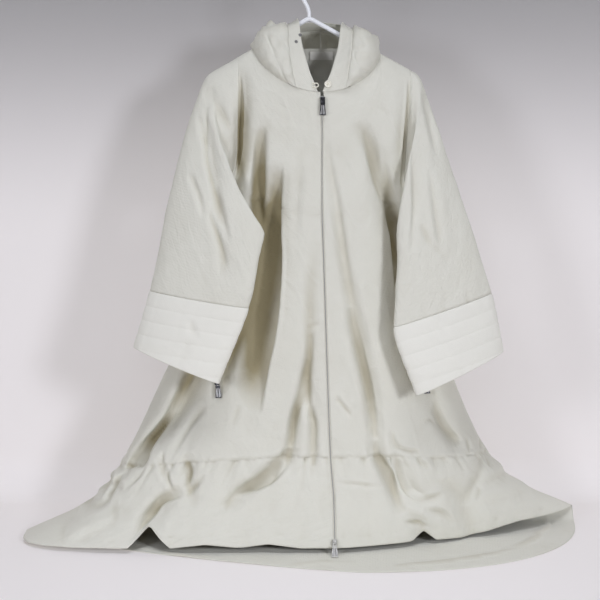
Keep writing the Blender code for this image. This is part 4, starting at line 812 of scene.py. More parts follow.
def rounded_path(corners, radius, per_corner=5):
    """Straight runs joined by arcs at the inner corners."""
    corners = [np.array(p, float) for p in corners]
    path = [corners[0]]
    for before, at, after in zip(corners, corners[1:], corners[2:]):
        into = (before - at) / np.linalg.norm(before - at)
        out = (after - at) / np.linalg.norm(after - at)
        half = math.acos(np.clip(np.dot(into, out), -1, 1)) / 2
        reach = min(radius / math.tan(half), 0.45 * np.linalg.norm(after - at))
        start, end = at + into * reach, at + out * reach
        for k in range(per_corner + 1):
            s = k / per_corner
            path.append((1 - s) ** 2 * start + 2 * s * (1 - s) * at + s * s * end)
    path.append(corners[-1])
    return path


def zip_line(levels):
    """Centre line of the zip (x, y, drop) with the folds and hem lift of the front."""
    grid = body_panel(RIGHT, True, [0.0], levels)
    return with_folds(grid, True, levels, [0.0])[:, 0]


def panel_columns(side, front, g):
    """Column shares of one row, clear of the zip in front and of the side seam."""
    start = (CHAIN_WIDTH / 2 + SEAM_GAP) if front else 0
    count = FRONT_COLUMNS if front else BACK_COLUMNS // 2
    width = row_length(side, front, g)
    c = np.linspace(0, 1, count + 1)
    return start / width + c * (1 - (start + SEAM_GAP) / width)


def armhole_line(side, front):
    """Edge points of a panel beside the sleeve, one for each armhole step."""
    line = []
    for g in ARMHOLE_STEPS:
        c = panel_columns(side, front, g)
        line.append(with_folds(body_panel(side, front, c, [g]), front, [g], c)[0, -1])
    return np.array(line)


def fine_levels(runs):
    """Row levels: crowded at the shoulder's crest, then even along each run down to the hem."""
    top = np.linspace(0, 1, TOP_ROWS, endpoint=False) ** 2
    lower = [np.linspace(start, end, count, endpoint=False) for start, end, count in runs]
    return np.concatenate([top, *lower, [runs[-1][1]]])


def lattice_noise(seed, x, y, cell_x, cell_y):
    """Smooth noise from -1 to 1: random heights on a lattice, blended across each cell."""
    table = np.random.default_rng(seed).uniform(-1, 1, (61, 67))
    fx, fy = x / cell_x + 200.3, y / cell_y + 200.7
    ix, iy = np.floor(fx).astype(int), np.floor(fy).astype(int)
    sx, sy = ease(fx - ix), ease(fy - iy)

    def corner(dx, dy):
        return table[(ix + dx) % 61, (iy + dy) % 67]
    top = corner(0, 0) * (1 - sx) + corner(1, 0) * sx
    low = corner(0, 1) * (1 - sx) + corner(1, 1) * sx
    return top * (1 - sy) + low * sy


def crumple(seed, x, y):
    """Soft unevenness of hung shell cloth: broad swells with a few sharper ridges on them."""
    broad = lattice_noise(seed, x, y, 46, 90)
    middle = lattice_noise(seed + 1, x + 0.3 * y, y, 26, 48)
    ridge = 1 - 2 * np.abs(lattice_noise(seed + 2, x - 0.4 * y, y, 40, 60))
    fine = lattice_noise(seed + 3, x, y, 12, 22)
    parts = (broad, middle, np.maximum(ridge - 0.5, 0), fine)
    return sum(height * part for height, part in zip(CRUMPLE_HEIGHTS, parts))


def to_line(points, line):
    """Signed distance from each point to a line of short straight runs, and its share along it."""
    start, run = line[:-1], np.diff(line, axis=0)
    length = np.linalg.norm(run, axis=1)
    offset = points[:, None] - start
    share = np.clip((offset * run).sum(-1) / length**2, 0, 1)
    across = offset - share[..., None] * run
    distance = np.linalg.norm(across, axis=-1)
    best = distance.argmin(axis=1)
    pick = np.arange(len(points)), best
    turn = run[best, 0] * across[pick][:, 1] - run[best, 1] * across[pick][:, 0]
    before = np.concatenate([[0], np.cumsum(length)[:-1]])
    way = (before[best] + share[pick] * length[best]) / length.sum()
    return np.sign(turn) * distance[pick], way


def crease_depth(creases, x, drop):
    """Sum of the creases' depths: across its line each one is a bell with one steeper wall and a low
    lip beside it, and it runs out at both ends."""
    total = np.zeros(x.shape)
    for crease in creases:
        line = np.array(crease.line, float)
        run = np.concatenate([[0], np.cumsum(np.linalg.norm(np.diff(line, axis=0), axis=1))])
        line = smooth_through(run, line, np.linspace(0, run[-1], 4 * len(line)))
        reach = crease.width * 5
        low, high = line.min(axis=0) - reach, line.max(axis=0) + reach
        near = (x > low[0]) & (x < high[0]) & (drop > low[1]) & (drop < high[1])
        if not near.any():
            continue
        distance, way = to_line(np.stack([x[near], drop[near]], axis=-1), line)
        width = crease.width * (1 + crease.skew * np.sign(distance))
        bell = np.exp(-0.5 * (distance / width) ** 2)
        lip = np.exp(-0.5 * ((np.abs(distance) - LIP_PLACE * width) / width) ** 2)
        run_out = np.clip(np.sin(np.pi * way), 0, 1) ** 0.6
        total[near] += BOLDNESS * crease.depth * run_out * (bell - LIP_SHARE * lip)
    return total


def gathers(seed, count, span, along, away, ruck):
    """Ruck marks along a seam: bells at uneven places, each dying away from the seam at its own rate
    and leaning a little to one side."""
    rng = np.random.default_rng(seed)
    total = np.zeros(along.shape)
    for place, rate, sink, wide, lean in zip(
            rng.uniform(*span, count), rng.uniform(0.5, 1.6, count), rng.uniform(0.3, 1.0, count),
            rng.uniform(0.6, 1.5, count), rng.uniform(-0.25, 0.25, count)):
        fade = np.exp(-np.abs(away) / (ruck.reach * rate))
        bell = np.exp(-0.5 * ((along - place - lean * away) / (ruck.width * wide)) ** 2)
        total += ruck.depth * sink * fade * bell
    return total


def casing_gathers(cloth, casing_row, below, seeds, counts):
    """Gathers of the drawcord's casing: deep ones below its seam and shallow ones above it."""
    along = np.broadcast_to(cloth.across[casing_row], below.shape)
    span = (0, cloth.across[casing_row, -1])
    return (gathers(seeds[0], counts[0], span, along, below, BELOW_CASING) * (below > 0)
            + gathers(seeds[1], counts[1], span, along, below, ABOVE_CASING) * (below <= 0))


class Cloth:
    """A grid of cloth in metres, its rows running down and its columns across.

    out is the outward direction at each point: the cross product of the ways down and across, turned
    by sign. across and down are lengths in millimetres from the first column and the first row.
    """

    def __init__(self, points, wrap=False, sign=1):
        self.wrap = wrap
        self.sign = sign
        self.valley = 0.0
        self.measure(points)

    def measure(self, points):
        self.points = points
        closed = np.concatenate([points, points[:, :1]], axis=1) if self.wrap else points
        if self.wrap:
            padded = np.concatenate([points[:, -1:], points, points[:, :1]], axis=1)
            across = np.gradient(padded, axis=1)[:, 1:-1]
        else:
            across = np.gradient(points, axis=1)
        down = np.gradient(points, axis=0)
        out = np.cross(down, across) * self.sign
        self.out = out / np.maximum(np.linalg.norm(out, axis=-1, keepdims=True), 1e-12)
        self.across = run_lengths(closed, 1)
        self.down = run_lengths(closed, 0)

    def raise_by(self, height):
        """Move every point outwards by its height in millimetres."""
        self.measure(self.points + self.out * (height * MM)[..., None])

    def sample(self, rows, cols):
        """Points and outward directions at fractional rows and columns, blended between neighbours."""
        points, out = self.points, self.out
        if self.wrap:
            points = np.concatenate([points, points[:, :1]], axis=1)
            out = np.concatenate([out, out[:, :1]], axis=1)
        r = np.clip(np.floor(rows).astype(int), 0, points.shape[0] - 2)
        c = np.clip(np.floor(cols).astype(int), 0, points.shape[1] - 2)
        fr, fc = (rows - r)[:, None], (cols - c)[:, None]

        def blend(table):
            top = table[r, c] * (1 - fc) + table[r, c + 1] * fc
            low = table[r + 1, c] * (1 - fc) + table[r + 1, c + 1] * fc
            return top * (1 - fr) + low * fr
        return blend(points), blend(out)

    def hollow(self):
        """0 to 1: painted shade at each point, from how far it lies below the mean of its near and of its
        wide neighbourhood, and from its valley share.
        """
        near, wide = ((box_mean(self.points, reach, self.wrap) - self.points) * self.out / MM
                      for reach in (HOLLOW_NEAR, HOLLOW_WIDE))
        return np.clip(NEAR_SHARE * near.sum(-1) + WIDE_SHARE * wide.sum(-1) + self.valley, 0, 1)


def box_mean(values, reach, wrap):
    """Mean of each grid value and its neighbours up to a reach of rows and columns."""
    for axis in (0, 1):
        pad = [(0, 0)] * values.ndim
        pad[axis] = (reach + 1, reach)
        total = np.cumsum(np.pad(values, pad, mode="wrap" if wrap and axis == 1 else "edge"), axis=axis)
        start = np.arange(values.shape[axis])
        count = 2 * reach + 1
        values = (np.take(total, start + count, axis=axis) - np.take(total, start, axis=axis)) / count
    return values


def run_lengths(points, axis):
    """Length in millimetres from the first point along an axis of the grid."""
    steps = np.linalg.norm(np.diff(points, axis=axis), axis=-1) / MM
    start = np.zeros_like(np.take(steps, [0], axis=axis))
    return np.concatenate([start, np.cumsum(steps, axis=axis)], axis=axis)


def new_piece(name, points, faces, material, body="coat", slot="cloth", smooth=True):
    """Mesh object from point and face tables, on a body."""
    mesh = bpy.data.meshes.new(name)
    mesh.from_pydata(np.asarray(points, float).reshape(-1, 3).tolist(), [], np.asarray(faces).tolist())
    mesh.polygons.foreach_set("use_smooth", np.full(len(mesh.polygons), smooth))
    for each in material if isinstance(material, (list, tuple)) else [material]:
        mesh.materials.append(each)
    mesh.update()
    obj = bpy.data.objects.new(name, mesh)
    bpy.context.scene.collection.objects.link(obj)
    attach(obj, body)
    return obj


def grid_faces(rows, cols, wrap, sign=1):
    """Quads over a grid of points, wound so that they face outwards where sign is 1."""
    index = np.arange(rows * cols).reshape(rows, cols)
    right = np.roll(index, -1, axis=1) if wrap else index[:, 1:]
    left = index if wrap else index[:, :-1]
    faces = np.stack([left[:-1], left[1:], right[1:], right[:-1]], axis=-1).reshape(-1, 4)
    return faces if sign > 0 else faces[:, ::-1]


def cloth_piece(solid, cloth, finish="cloth", thickness=CLOTH):
    """Sheet of cloth in place of a solid, with its cut laid out in metres on the UV map."""
    name = f"{solid}_cloth"
    rows, cols = cloth.points.shape[:2]
    faces = grid_faces(rows, cols, cloth.wrap, cloth.sign)
    obj = new_piece(name, cloth.points, faces, MATERIALS[finish], slot=finish)
    layer = obj.data.uv_layers.new(name="cut")
    wide = cloth.across.shape[1]
    flat = np.stack([cloth.across, cloth.down], axis=-1) * MM
    row, left = np.divmod(np.arange((rows - 1) * (wide - 1)), wide - 1)
    right = left + 1
    corners = [flat[row, left], flat[row + 1, left], flat[row + 1, right], flat[row, right]]
    if cloth.sign < 0:
        corners = corners[::-1]
    layer.data.foreach_set("uv", np.stack(corners, axis=1).astype(np.float32).ravel())
    # Painted shade for the material: how dark and warm each point's colour is made in the folds
    marks = obj.data.attributes.new("hollow", "FLOAT", "POINT")
    marks.data.foreach_set("value", cloth.hollow().astype(np.float32).ravel())
    give_wall(obj, "Cloth", thickness).use_quality_normals = True
    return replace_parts(obj, solid)


def give_wall(obj, name, thickness, offset=0.0):
    """Solidify modifier that gives a sheet its thickness in millimetres."""
    wall = obj.modifiers.new(name, "SOLIDIFY")
    wall.thickness = thickness * MM
    wall.offset = offset
    return wall


def rows_at(at, run, table):
    """Rows of a table of points, read at places along its run."""
    return np.stack([np.interp(at, run, table[:, k]) for k in range(3)], axis=-1)


def places_along(points, normals, pitch, start, stop, peek):
    """Places at an even pitch along a path, from its start to a stop before its end: the centre of
    each, the way ahead to a point a peek further on, and the blended outward direction."""
    run = run_lengths(points[:, None], 0)[:, 0]
    at = np.arange(start, run[-1] - stop, pitch)
    centre = rows_at(at, run, points)
    return centre, unit(rows_at(at + peek, run, points) - centre), rows_at(at, run, normals)


def thread(cloth, rows, cols):
    """Stitches along a path on a cloth: places at an even pitch, with the path's own direction."""
    points, normals = cloth.sample(np.asarray(rows, float), np.asarray(cols, float))
    centre, ahead, normal = places_along(points, normals, STITCH_PITCH, STITCH_PITCH / 2, 0, 0.5)
    return centre + normal * STITCH_OUT * MM, ahead, unit(normal)


def unit(vectors):
    return vectors / np.maximum(np.linalg.norm(vectors, axis=-1, keepdims=True), 1e-12)


def stitches(name, runs, material, slot="cloth"):
    """Every stitch is a slim lozenge: two tips on the path and four points round its middle."""
    centre, ahead, out = (np.concatenate([run[k] for run in runs]) for k in range(3))
    aside = np.cross(ahead, out)
    length, thick = STITCH_LENGTH / 2 * MM, STITCH_THICKNESS / 2 * MM
    points = np.stack([centre - ahead * length, centre + ahead * length, centre + aside * thick,
                       centre + out * thick, centre - aside * thick, centre - out * thick], axis=1)
    shape = np.array([(0, 3, 2), (0, 4, 3), (0, 5, 4), (0, 2, 5), (1, 2, 3), (1, 3, 4), (1, 4, 5), (1, 5, 2)])
    faces = (np.arange(len(centre))[:, None, None] * 6 + shape).reshape(-1, 3)
    return new_piece(name, points, faces, material, slot=slot)


def blocks(name, centre, ahead, out, size, material, slot):
    """Small blocks that narrow outwards: eight corners from half sizes across, along and out."""
    aside = np.cross(ahead, out)
    wide, long, thick = (s / 2 * MM for s in size)
    corners = [(x, y, z) for z in (-1, 1) for y in (-1, 1) for x in (-1, 1)]
    points = np.stack([centre + aside * x * wide * (1 - 0.25 * (z > 0))
                       + ahead * y * long * (1 - 0.3 * (z > 0)) + out * z * thick
                       for x, y, z in corners], axis=1)
    shape = np.array([(0, 2, 3, 1), (4, 5, 7, 6), (0, 1, 5, 4), (2, 6, 7, 3), (0, 4, 6, 2), (1, 3, 7, 5)])
    faces = (np.arange(len(centre))[:, None, None] * 8 + shape).reshape(-1, 4)
    return new_piece(name, points, faces, material, slot=slot, smooth=False)


def tube(points, radius, side, sides=24, twist=0.0, strands=0):
    """Round tube along a flat path: rings square to it. A cord's rings swell where its strands lie."""
    points = np.asarray(points, float)
    along = unit(np.gradient(points, axis=0))
    side = np.broadcast_to(np.asarray(side, float), points.shape)
    up = np.cross(along, side)
    angle = np.arange(sides) / sides * 2 * math.pi
    run = np.concatenate([[0], np.cumsum(np.linalg.norm(np.diff(points, axis=0), axis=1))])
    swell = 1 + (0.14 * np.cos(strands * (angle[None] - twist * run[:, None])) if strands else 0.0)
    swell = np.broadcast_to(swell, (len(points), sides))[..., None]
    return points[:, None] + radius * swell * (np.cos(angle)[None, :, None] * side[:, None]
                                               + np.sin(angle)[None, :, None] * up[:, None])


def closed_tube(rings):
    """Tube rings with their two ends drawn in to a point, as one table, and its faces."""
    ends = [np.repeat(ring.mean(axis=0)[None], len(ring), axis=0)[None] for ring in (rings[0], rings[-1])]
    rings = np.concatenate([ends[0], rings, ends[1]])
    return rings, grid_faces(rings.shape[0], rings.shape[1], True)


def joined(tables):
    """Several point and face tables as one."""
    points, faces, start = [], [], 0
    for table, quads in tables:
        flat = table.reshape(-1, 3)
        points.append(flat)
        faces.append(quads + start)
        start += len(flat)
    return np.concatenate(points), np.concatenate(faces)


def even_path(points, step):
    """Points at an even spacing along a path."""
    points = np.asarray(points, float)
    run = np.concatenate([[0], np.cumsum(np.linalg.norm(np.diff(points, axis=0), axis=1))])
    return rows_at(np.linspace(0, run[-1], max(int(run[-1] / step), 2)), run, points)


def make_front(side):
    """Front: the solid's own surface on a finer grid, with its creases, gathers and stitch lines."""
    levels = fine_levels(FRONT_RUNS)
    shares = np.array([panel_columns(side, True, g) for g in levels])
    flat = np.array([body_panel(side, True, c, [g])[0] for c, g in zip(shares, levels)])
    grid = with_folds(flat, True, levels, shares)
    sunk = grid[..., 1] - flat[..., 1]
    if side.sign < 0:
        grid, sunk = grid[:, ::-1], sunk[:, ::-1]
    x, drop = grid[..., 0], grid[..., 2]
    cloth = Cloth(to_world(grid))
    # Painted shade along the deep valleys, three times as strong on the left front, whose valley walls face
    # away from the lamps on the right
    cloth.valley = sunk * PAINTED_VALLEY_SHADE[side.name] * (1 - ease((drop - VALLEY_END) / VALLEY_FADE))
    from_zip = cloth.across if side.sign > 0 else cloth.across[:, -1:] - cloth.across
    from_seam = cloth.across[:, -1:] - from_zip
    casing_row = int(np.searchsorted(levels, CASING_LEVEL))
    below = cloth.down - cloth.down[casing_row]
    up_from_hem = cloth.down[-1] - cloth.down
    calm = ease(from_zip / 22) * ease(from_seam / 30) * ease(cloth.down / 40)
    seed = FRONT_RUCK_SEEDS[side.name]
    height = crumple(SEEDS[f"front_{side.name}"], x, drop) * (0.35 + 0.65 * calm)
    height -= crease_depth(FRONT_CREASES, x, drop)
    height -= casing_gathers(cloth, casing_row, below, (seed, seed + 10), (46, 40))
    height -= CASING_SEAM_DEPTH * np.exp(-0.5 * (below / 1.7) ** 2)
    height += 0.7 * ease((below + 14) / 12) * (below <= 0)
    height -= gathers(seed + 20, 90, (0, 900), cloth.down, from_zip, BESIDE_ZIP)
    height += 0.45 * ease((HEM_STITCH_UP - up_from_hem) / 2)
    height -= gathers(seed + 30, 70, (0, cloth.across[-1, -1]), cloth.across,
                      up_from_hem - HEM_STITCH_UP, ABOVE_HEM)
    height *= ease((from_zip + 1) / 6) * ease((from_seam + 1) / 8)
    cloth.raise_by(height)
    return cloth, levels


def make_back():
    """Back: one piece from side seam to side seam, with the strip that lies forward on the table."""
    levels = fine_levels(BACK_RUNS)
    rows = []
    shares = []
    for g in levels:
        halves = []
        for side in (LEFT, RIGHT):
            c = panel_columns(side, False, g)
            halves.append(np.column_stack([body_panel(side, False, c, [g])[0], c]))
        row = np.concatenate([halves[1][::-1], halves[0][1:]])
        rows.append(row[:, :3])
        shares.append(row[:, 3])
    grid = with_folds(np.array(rows), False, levels, np.array(shares))
    grid[0, :, 1] += CLOTH
    x, drop = grid[..., 0], grid[..., 2]
    cloth = Cloth(to_world(grid))
    from_seam = np.minimum(cloth.across, cloth.across[:, -1:] - cloth.across)
    casing_row = int(np.searchsorted(levels, CASING_LEVEL))
    below = cloth.down - cloth.down[casing_row]
    calm = ease(from_seam / 30) * ease(cloth.down / 40)
    height = crumple(SEEDS["back"], x, drop) * (0.35 + 0.65 * calm)
    height -= crease_depth(BACK_CREASES, x, drop)
    height -= casing_gathers(cloth, casing_row, below, (BACK_RUCK_SEED, BACK_RUCK_SEED + 1), (90, 80))
    height -= CASING_SEAM_DEPTH * np.exp(-0.5 * (below / 2.0) ** 2)
    up_from_hem = cloth.down[-1] - cloth.down
    height -= gathers(BACK_RUCK_SEED + 2, 120, (0, cloth.across[-1, -1]), cloth.across,
                      up_from_hem - HEM_STITCH_UP, ABOVE_HEM)
    past_table = np.asarray(levels)[:, None] - 5.0
    height -= crease_depth(STRIP_CREASES, x, grid[..., 1]) * ease(past_table / 0.2)
    height = np.where(past_table > 0, np.clip(height, -HIGHEST_ON_TABLE, 0.2), height)
    height *= ease((from_seam + 1) / 8)
    cloth.raise_by(height)
    return cloth, levels


def arm_cloth(side, steps):
    """Cloth round the arm at each step, with the x and drop of its points."""
    grid = sleeve_rings(side, steps, SLEEVE_SIDES)
    if side.sign > 0:
        grid = grid[:, ::-1]
    return Cloth(to_world(grid), wrap=True), grid[..., 0], grid[..., 2]


def facing(cloth, way):
    """0 to 1: how squarely each point round the arm faces back (way 1) or front (way -1)."""
    return np.clip(way * cloth.out[..., 1] * 2.5, 0, 1)


def make_sleeve(side):
    """Sleeve: rings from the armhole to the cuff, with creases on its front and on its back."""
    steps = np.linspace(0, 1, SLEEVE_ROWS) ** SLEEVE_CROWDING * CUFF_START
    cloth, x, drop = arm_cloth(side, steps)
    down, round_arm = cloth.down[:, :-1], cloth.across[:, :-1]
    up = down[-1] - down
    creases = LEFT_SLEEVE_CREASES if side.sign < 0 else RIGHT_SLEEVE_CREASES
    seed = SEEDS[f"sleeve_{side.name}"]
    fade = ease(down / 30) * ease(up / 26)
    height = crumple(seed, x, drop) * (0.3 + 0.7 * fade)
    front_ones = [each for each in creases if "back" not in each.name]
    back_ones = [each for each in creases if "back" in each.name]
    height -= crease_depth(front_ones, x, drop) * facing(cloth, -1) * ease(down / 12)
    height -= crease_depth(back_ones, x, drop) * facing(cloth, 1)
    height -= gathers(seed, 50, (0, 700), round_arm, up, ABOVE_CUFF)
    height -= gathers(seed + 1, 40, (0, 900), round_arm, down, BELOW_ARMHOLE)
    height *= ease((down + 1) / 6) * ease((up + 1) / 4)
    cloth.raise_by(height)
    return cloth


def make_cuff(side):
    """Cuff: rings round the arm that puff a little between the rows of stitches."""
    cloth, x, drop = arm_cloth(side, np.linspace(CUFF_START + CUFF_SEAM_STEP, 1.0, CUFF_ROWS))
    down, round_arm = cloth.down[:, :-1], cloth.across[:, :-1]
    seed = SEEDS[f"cuff_{side.name}"]
    height = 1.1 * np.abs(np.sin(np.pi * down / CUFF_BAND)) ** 0.45 - 0.5
    height += CUFF_CRUMPLE * crumple(seed, x, drop)
    height -= gathers(seed, 46, (0, 700), round_arm, (down % CUFF_BAND) - CUFF_BAND / 2, IN_CUFF)
    height -= crease_depth((CUFF_DIMPLE,), x, drop) * facing(cloth, -1)
    cloth.raise_by(height)
    return cloth


def make_hood(side):
    """Hood side: pull curves from the neck seam to the band, with folds that fall from the seam."""
    steps = np.linspace(0, 1, HOOD_ROWS_FINE)
    grid = hood_grid(side, steps, HOOD_ACROSS)
    grid[-1, :, 0] = HOOD_CENTRE_X + side.sign * HOOD_SEAM_HALF_GAP
    s = np.linspace(0, 1, HOOD_ACROSS + 1)[None, :, None]
    along = unit(grid[:, -1:] - grid[:, -2:-1])
    grid = grid - along * SEAM_GAP * s
    grid[..., 2] += NECK_TUCK * (1 - ease(s[..., 0] / 0.12))
    grid = to_neck(side, steps, grid)
    x, drop = grid[..., 0], grid[..., 2]
    cloth = Cloth(to_world(grid), sign=1 if side.sign < 0 else -1)
    in_front = np.clip(-cloth.out[..., 1] * 3 + 0.8, 0, 1)
    from_band = cloth.across[:, -1:] - cloth.across
    creases = LEFT_HOOD_CREASES if side.sign < 0 else RIGHT_HOOD_CREASES
    seed = SEEDS[f"hood_{side.name}"]
    height = crumple(seed, x * 1.3, drop * 1.6) * HOOD_CRUMPLE
    height -= crease_depth(creases, x, drop) * in_front * HOOD_BOLDNESS
    height -= gathers(seed + 2, 40, (0, 420), cloth.down, cloth.across, AT_NECK_SEAM)
    height -= gathers(seed + 4, 40, (0, 420), cloth.down, from_band, AT_BAND_SEAM)
    edge = np.minimum(cloth.across, from_band)
    height *= ease((edge + 1) / 7) * ease((cloth.down[-1] - cloth.down + 1) / 8)
    cloth.raise_by(height)
    return cloth


def to_neck(side, steps, grid):
    """Draw the band's foot down to the top edge of the front, less and less up the band."""
    edge = body_panel(side, True, np.linspace(0, 1, 80), [0.0])[0]
    edge = edge[np.argsort(edge[:, 0])]
    short = np.interp(grid[0, :, 0], edge[:, 0], edge[:, 2]) - 2 * SEAM_GAP - grid[0, :, 2]
    grid[..., 2] += short * (1 - ease(steps / 0.08))[:, None]
    return grid


def make_band():
    """Hood band: a doubled strip round the face opening, stitched along both edges."""
    steps = np.linspace(0, 1, HOOD_ROWS_FINE)
    left, right = (to_neck(side, steps, band_grid(side, steps, BAND_ACROSS)) for side in (LEFT, RIGHT))
    grid = np.concatenate([left[:-1], (left[-1:] + right[-1:]) / 2, right[:-1][::-1]])
    cloth = Cloth(to_world(grid))
    edge = np.minimum(cloth.across, cloth.across[:, -1:] - cloth.across)
    seed = SEEDS["hood_band"]
    height = crumple(seed, grid[..., 0], grid[..., 2]) * BAND_CRUMPLE + 0.8 * ease(edge / 5)
    height -= 0.5 * np.exp(-0.5 * ((edge - BAND_STITCH_IN) / 0.9) ** 2)
    height -= gathers(seed + 1, 90, (0, 900), cloth.down, edge, IN_BAND)
    cloth.raise_by(height * ease((edge + 1) / 3))
    return cloth


def at_distance(lengths, distance):
    """Fractional index along each line at a distance from its start."""
    return np.array([np.interp(distance, line, np.arange(len(line))) for line in lengths])


def front_stitches(side, cloth, levels):
    """Runs of stitches on a front: beside the zip, along the hem, and beside the casing seam."""
    rows, cols = cloth.points.shape[:2]
    from_zip = cloth.across if side.sign > 0 else (cloth.across[:, -1:] - cloth.across)[:, ::-1]
    col = at_distance(from_zip, ZIP_STITCH_IN)
    col = col if side.sign > 0 else cols - 1 - col
    beside_zip = thread(cloth, np.arange(ZIP_STITCH_START, rows), col[ZIP_STITCH_START:])
    return [beside_zip, *hem_and_casing_stitches(cloth, levels)]


def hem_and_casing_stitches(cloth, levels):
    """Runs of stitches along the hem, and below and above the casing seam."""
    rows, cols = cloth.points.shape[:2]
    up = (cloth.down[-1] - cloth.down)[::-1].T
    runs = [thread(cloth, rows - 1 - at_distance(up, HEM_STITCH_UP), np.arange(cols))]
    casing = int(np.searchsorted(levels, CASING_LEVEL))
    for down in (CASING_STITCH_DOWN, -CASING_STITCH_DOWN):
        line = (cloth.down - cloth.down[casing] - down).T
        runs.append(thread(cloth, [np.interp(0, each, np.arange(rows)) for each in line], np.arange(cols)))
    return runs


def cuff_stitches(cloth):
    """A row of stitches in each trough round the cuff, with one near its edge."""
    cols = cloth.points.shape[1]
    longest = cloth.down[-1].min()
    places = [k * CUFF_BAND for k in range(1, int(longest / CUFF_BAND) + 1)]
    return [thread(cloth, at_distance(cloth.down.T, place), np.arange(cols + 1))
            for place in (*places, longest - CUFF_EDGE_STITCH)]


def band_stitches(cloth):
    """A run of stitches near each edge of the band."""
    rows, cols = cloth.points.shape[:2]
    last = cloth.across[:, -1:] - cloth.across
    inner = at_distance(cloth.across, BAND_STITCH_IN)
    outer = cols - 1 - at_distance(last[:, ::-1], BAND_STITCH_IN)
    return [thread(cloth, np.arange(rows), each) for each in (inner, outer)]


def search_tree(obj):
    return BVHTree.FromObject(obj, bpy.context.evaluated_depsgraph_get())


def on_surface(tree, x, drop):
    """Where a line straight back through (x, drop) meets a piece, and the way out of it there."""
    hit, normal = tree.ray_cast(Vector((x, -600.0, -drop)) * MM, Vector((0, 1, 0)))[:2]
    return np.array(hit), np.array(normal)


def teeth(name, cloth, pitch, margin, shift, rise, size):
    """Two rows of teeth that mesh along the middle of a strip: every other one steps to each side."""
    middle = cloth.points.shape[1] // 2
    points, out = cloth.points[:, middle], cloth.out[:, middle]
    centre, ahead, normal = places_along(points, out, pitch, margin, margin, 1)
    normal = unit(normal)
    step = np.where(np.arange(len(centre)) % 2, shift, -shift)[:, None] * MM
    centre = centre + np.cross(ahead, normal) * step + normal * rise * MM
    blocks(name, centre, ahead, normal, size, MATERIALS["teeth"], "zip")


def make_front_zip():
    """Tape between the fronts, and two rows of teeth that mesh along its middle."""
    levels = np.concatenate([np.linspace(ZIP_TOP_LEVEL, 1, 60), np.linspace(1.02, ZIP_FOOT_LEVEL, 220)])
    half = CHAIN_WIDTH / 2 + TAPE_OVERLAP
    across = np.linspace(-half, half, 7)
    tape_shape = np.stack([across, 0.2 + 0.08 * np.abs(across), 0 * across], axis=-1)
    cloth = Cloth(to_world(zip_line(levels)[:, None] + tape_shape[None]))
    faces = grid_faces(*cloth.points.shape[:2], False)
    tape = new_piece("front_zip_tape", cloth.points, faces, MATERIALS["tape"], slot="zip")
    give_wall(tape, "Tape", TAPE_THICKNESS)
    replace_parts(tape, "zip_chain")
    teeth("front_zip_teeth", cloth, TOOTH_PITCH / 2, 2, TOOTH_SHIFT,
          TAPE_THICKNESS / 2 + TOOTH_SIZE[2] / 2 - TOOTH_SUNK, TOOTH_SIZE)


def make_pocket_zip(strip, tree):
    """Two lips of cloth with a row of teeth between them, laid on the front."""
    top, foot = np.array((strip.top_x, strip.top_drop)), np.array((strip.foot_x, strip.foot_drop))
    way = unit(foot - top)
    rows = []
    for share in np.linspace(0, 1, 60):
        at = top + (foot - top) * share
        seats = [on_surface(tree, at[0] + offset * way[1], at[1] - offset * way[0])
                 for offset in LIP_ACROSS]
        rows.append([hit + normal * rise * MM for (hit, normal), rise in zip(seats, LIP_RISE)])
    cloth = Cloth(np.array(rows))
    lips = new_piece(f"{strip.name}_lips", cloth.points, grid_faces(len(rows), len(LIP_ACROSS), False),
                     MATERIALS["cloth_plain"], slot="zip")
    give_wall(lips, "Lip", LIP_THICKNESS, -1.0)
    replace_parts(lips, strip.name)
    teeth(f"{strip.name}_teeth", cloth, POCKET_TOOTH_PITCH, 1, POCKET_TOOTH_SHIFT, POCKET_TOOTH_RISE,
          POCKET_TOOTH_SIZE)


def turned(profile, sides=32):
    """Profile of (along X, radius) carried round the X axis."""
    profile = np.asarray(profile, float)
    angle = np.arange(sides) / sides * 2 * math.pi
    return np.stack([np.broadcast_to(profile[:, 0][:, None], (len(profile), sides)),
                     profile[:, 1][:, None] * np.cos(angle), profile[:, 1][:, None] * np.sin(angle)], axis=-1)


def pull_shape():
    """Knuckle on the pin, a bail, a collar, and a plate that widens to its foot. The plate's rows are
    closed loops: its face is sunk inside a rim, with a ridge down its middle."""
    half = KNUCKLE_WIDTH / 2
    knuckle = turned([(-half, KNUCKLE_HOLE), (-half, KNUCKLE_RADIUS - 0.3), (-half + 0.3, KNUCKLE_RADIUS),
                      (half - 0.3, KNUCKLE_RADIUS), (half, KNUCKLE_RADIUS - 0.3), (half, KNUCKLE_HOLE),
                      (-half, KNUCKLE_HOLE)])
    angle = np.linspace(0, 2 * math.pi, 40)
    bail = np.stack([BAIL_HALF_WIDTH * np.sin(angle), 0 * angle,
                     BAIL_HALF_HEIGHT * np.cos(angle) - BAIL_DROP], axis=-1)
    z = -np.concatenate([[TAB_START, TAB_START, TAB_START + 0.2],
                         np.linspace(TAB_START + 0.6, TAB_LENGTH - 0.6, 34),
                         [TAB_LENGTH - 0.2, TAB_LENGTH, TAB_LENGTH]])
    width = np.interp(-z, (TAB_START, TAB_LENGTH), (TAB_TOP_WIDTH, TAB_FOOT_WIDTH)) / 2
    width[[0, 1, -1, -2]] -= 0.5
    thick = np.full(len(z), TAB_THICKNESS / 2)
    thick[[0, -1]] = 0.05
    thick[[1, -2]] -= 0.4
    plate = loop_rows(z, width, thick, TAB_RECESS)
    shapes = (knuckle, tube(bail, BAIL_WIRE, (0, 1, 0), 12), loop_rows(*np.array(COLLAR_ROWS).T, 0), plate)
    points, faces = joined([(shape, grid_faces(*shape.shape[:2], True)) for shape in shapes])
    return points, faces, len(points) - plate.shape[0] * plate.shape[1]


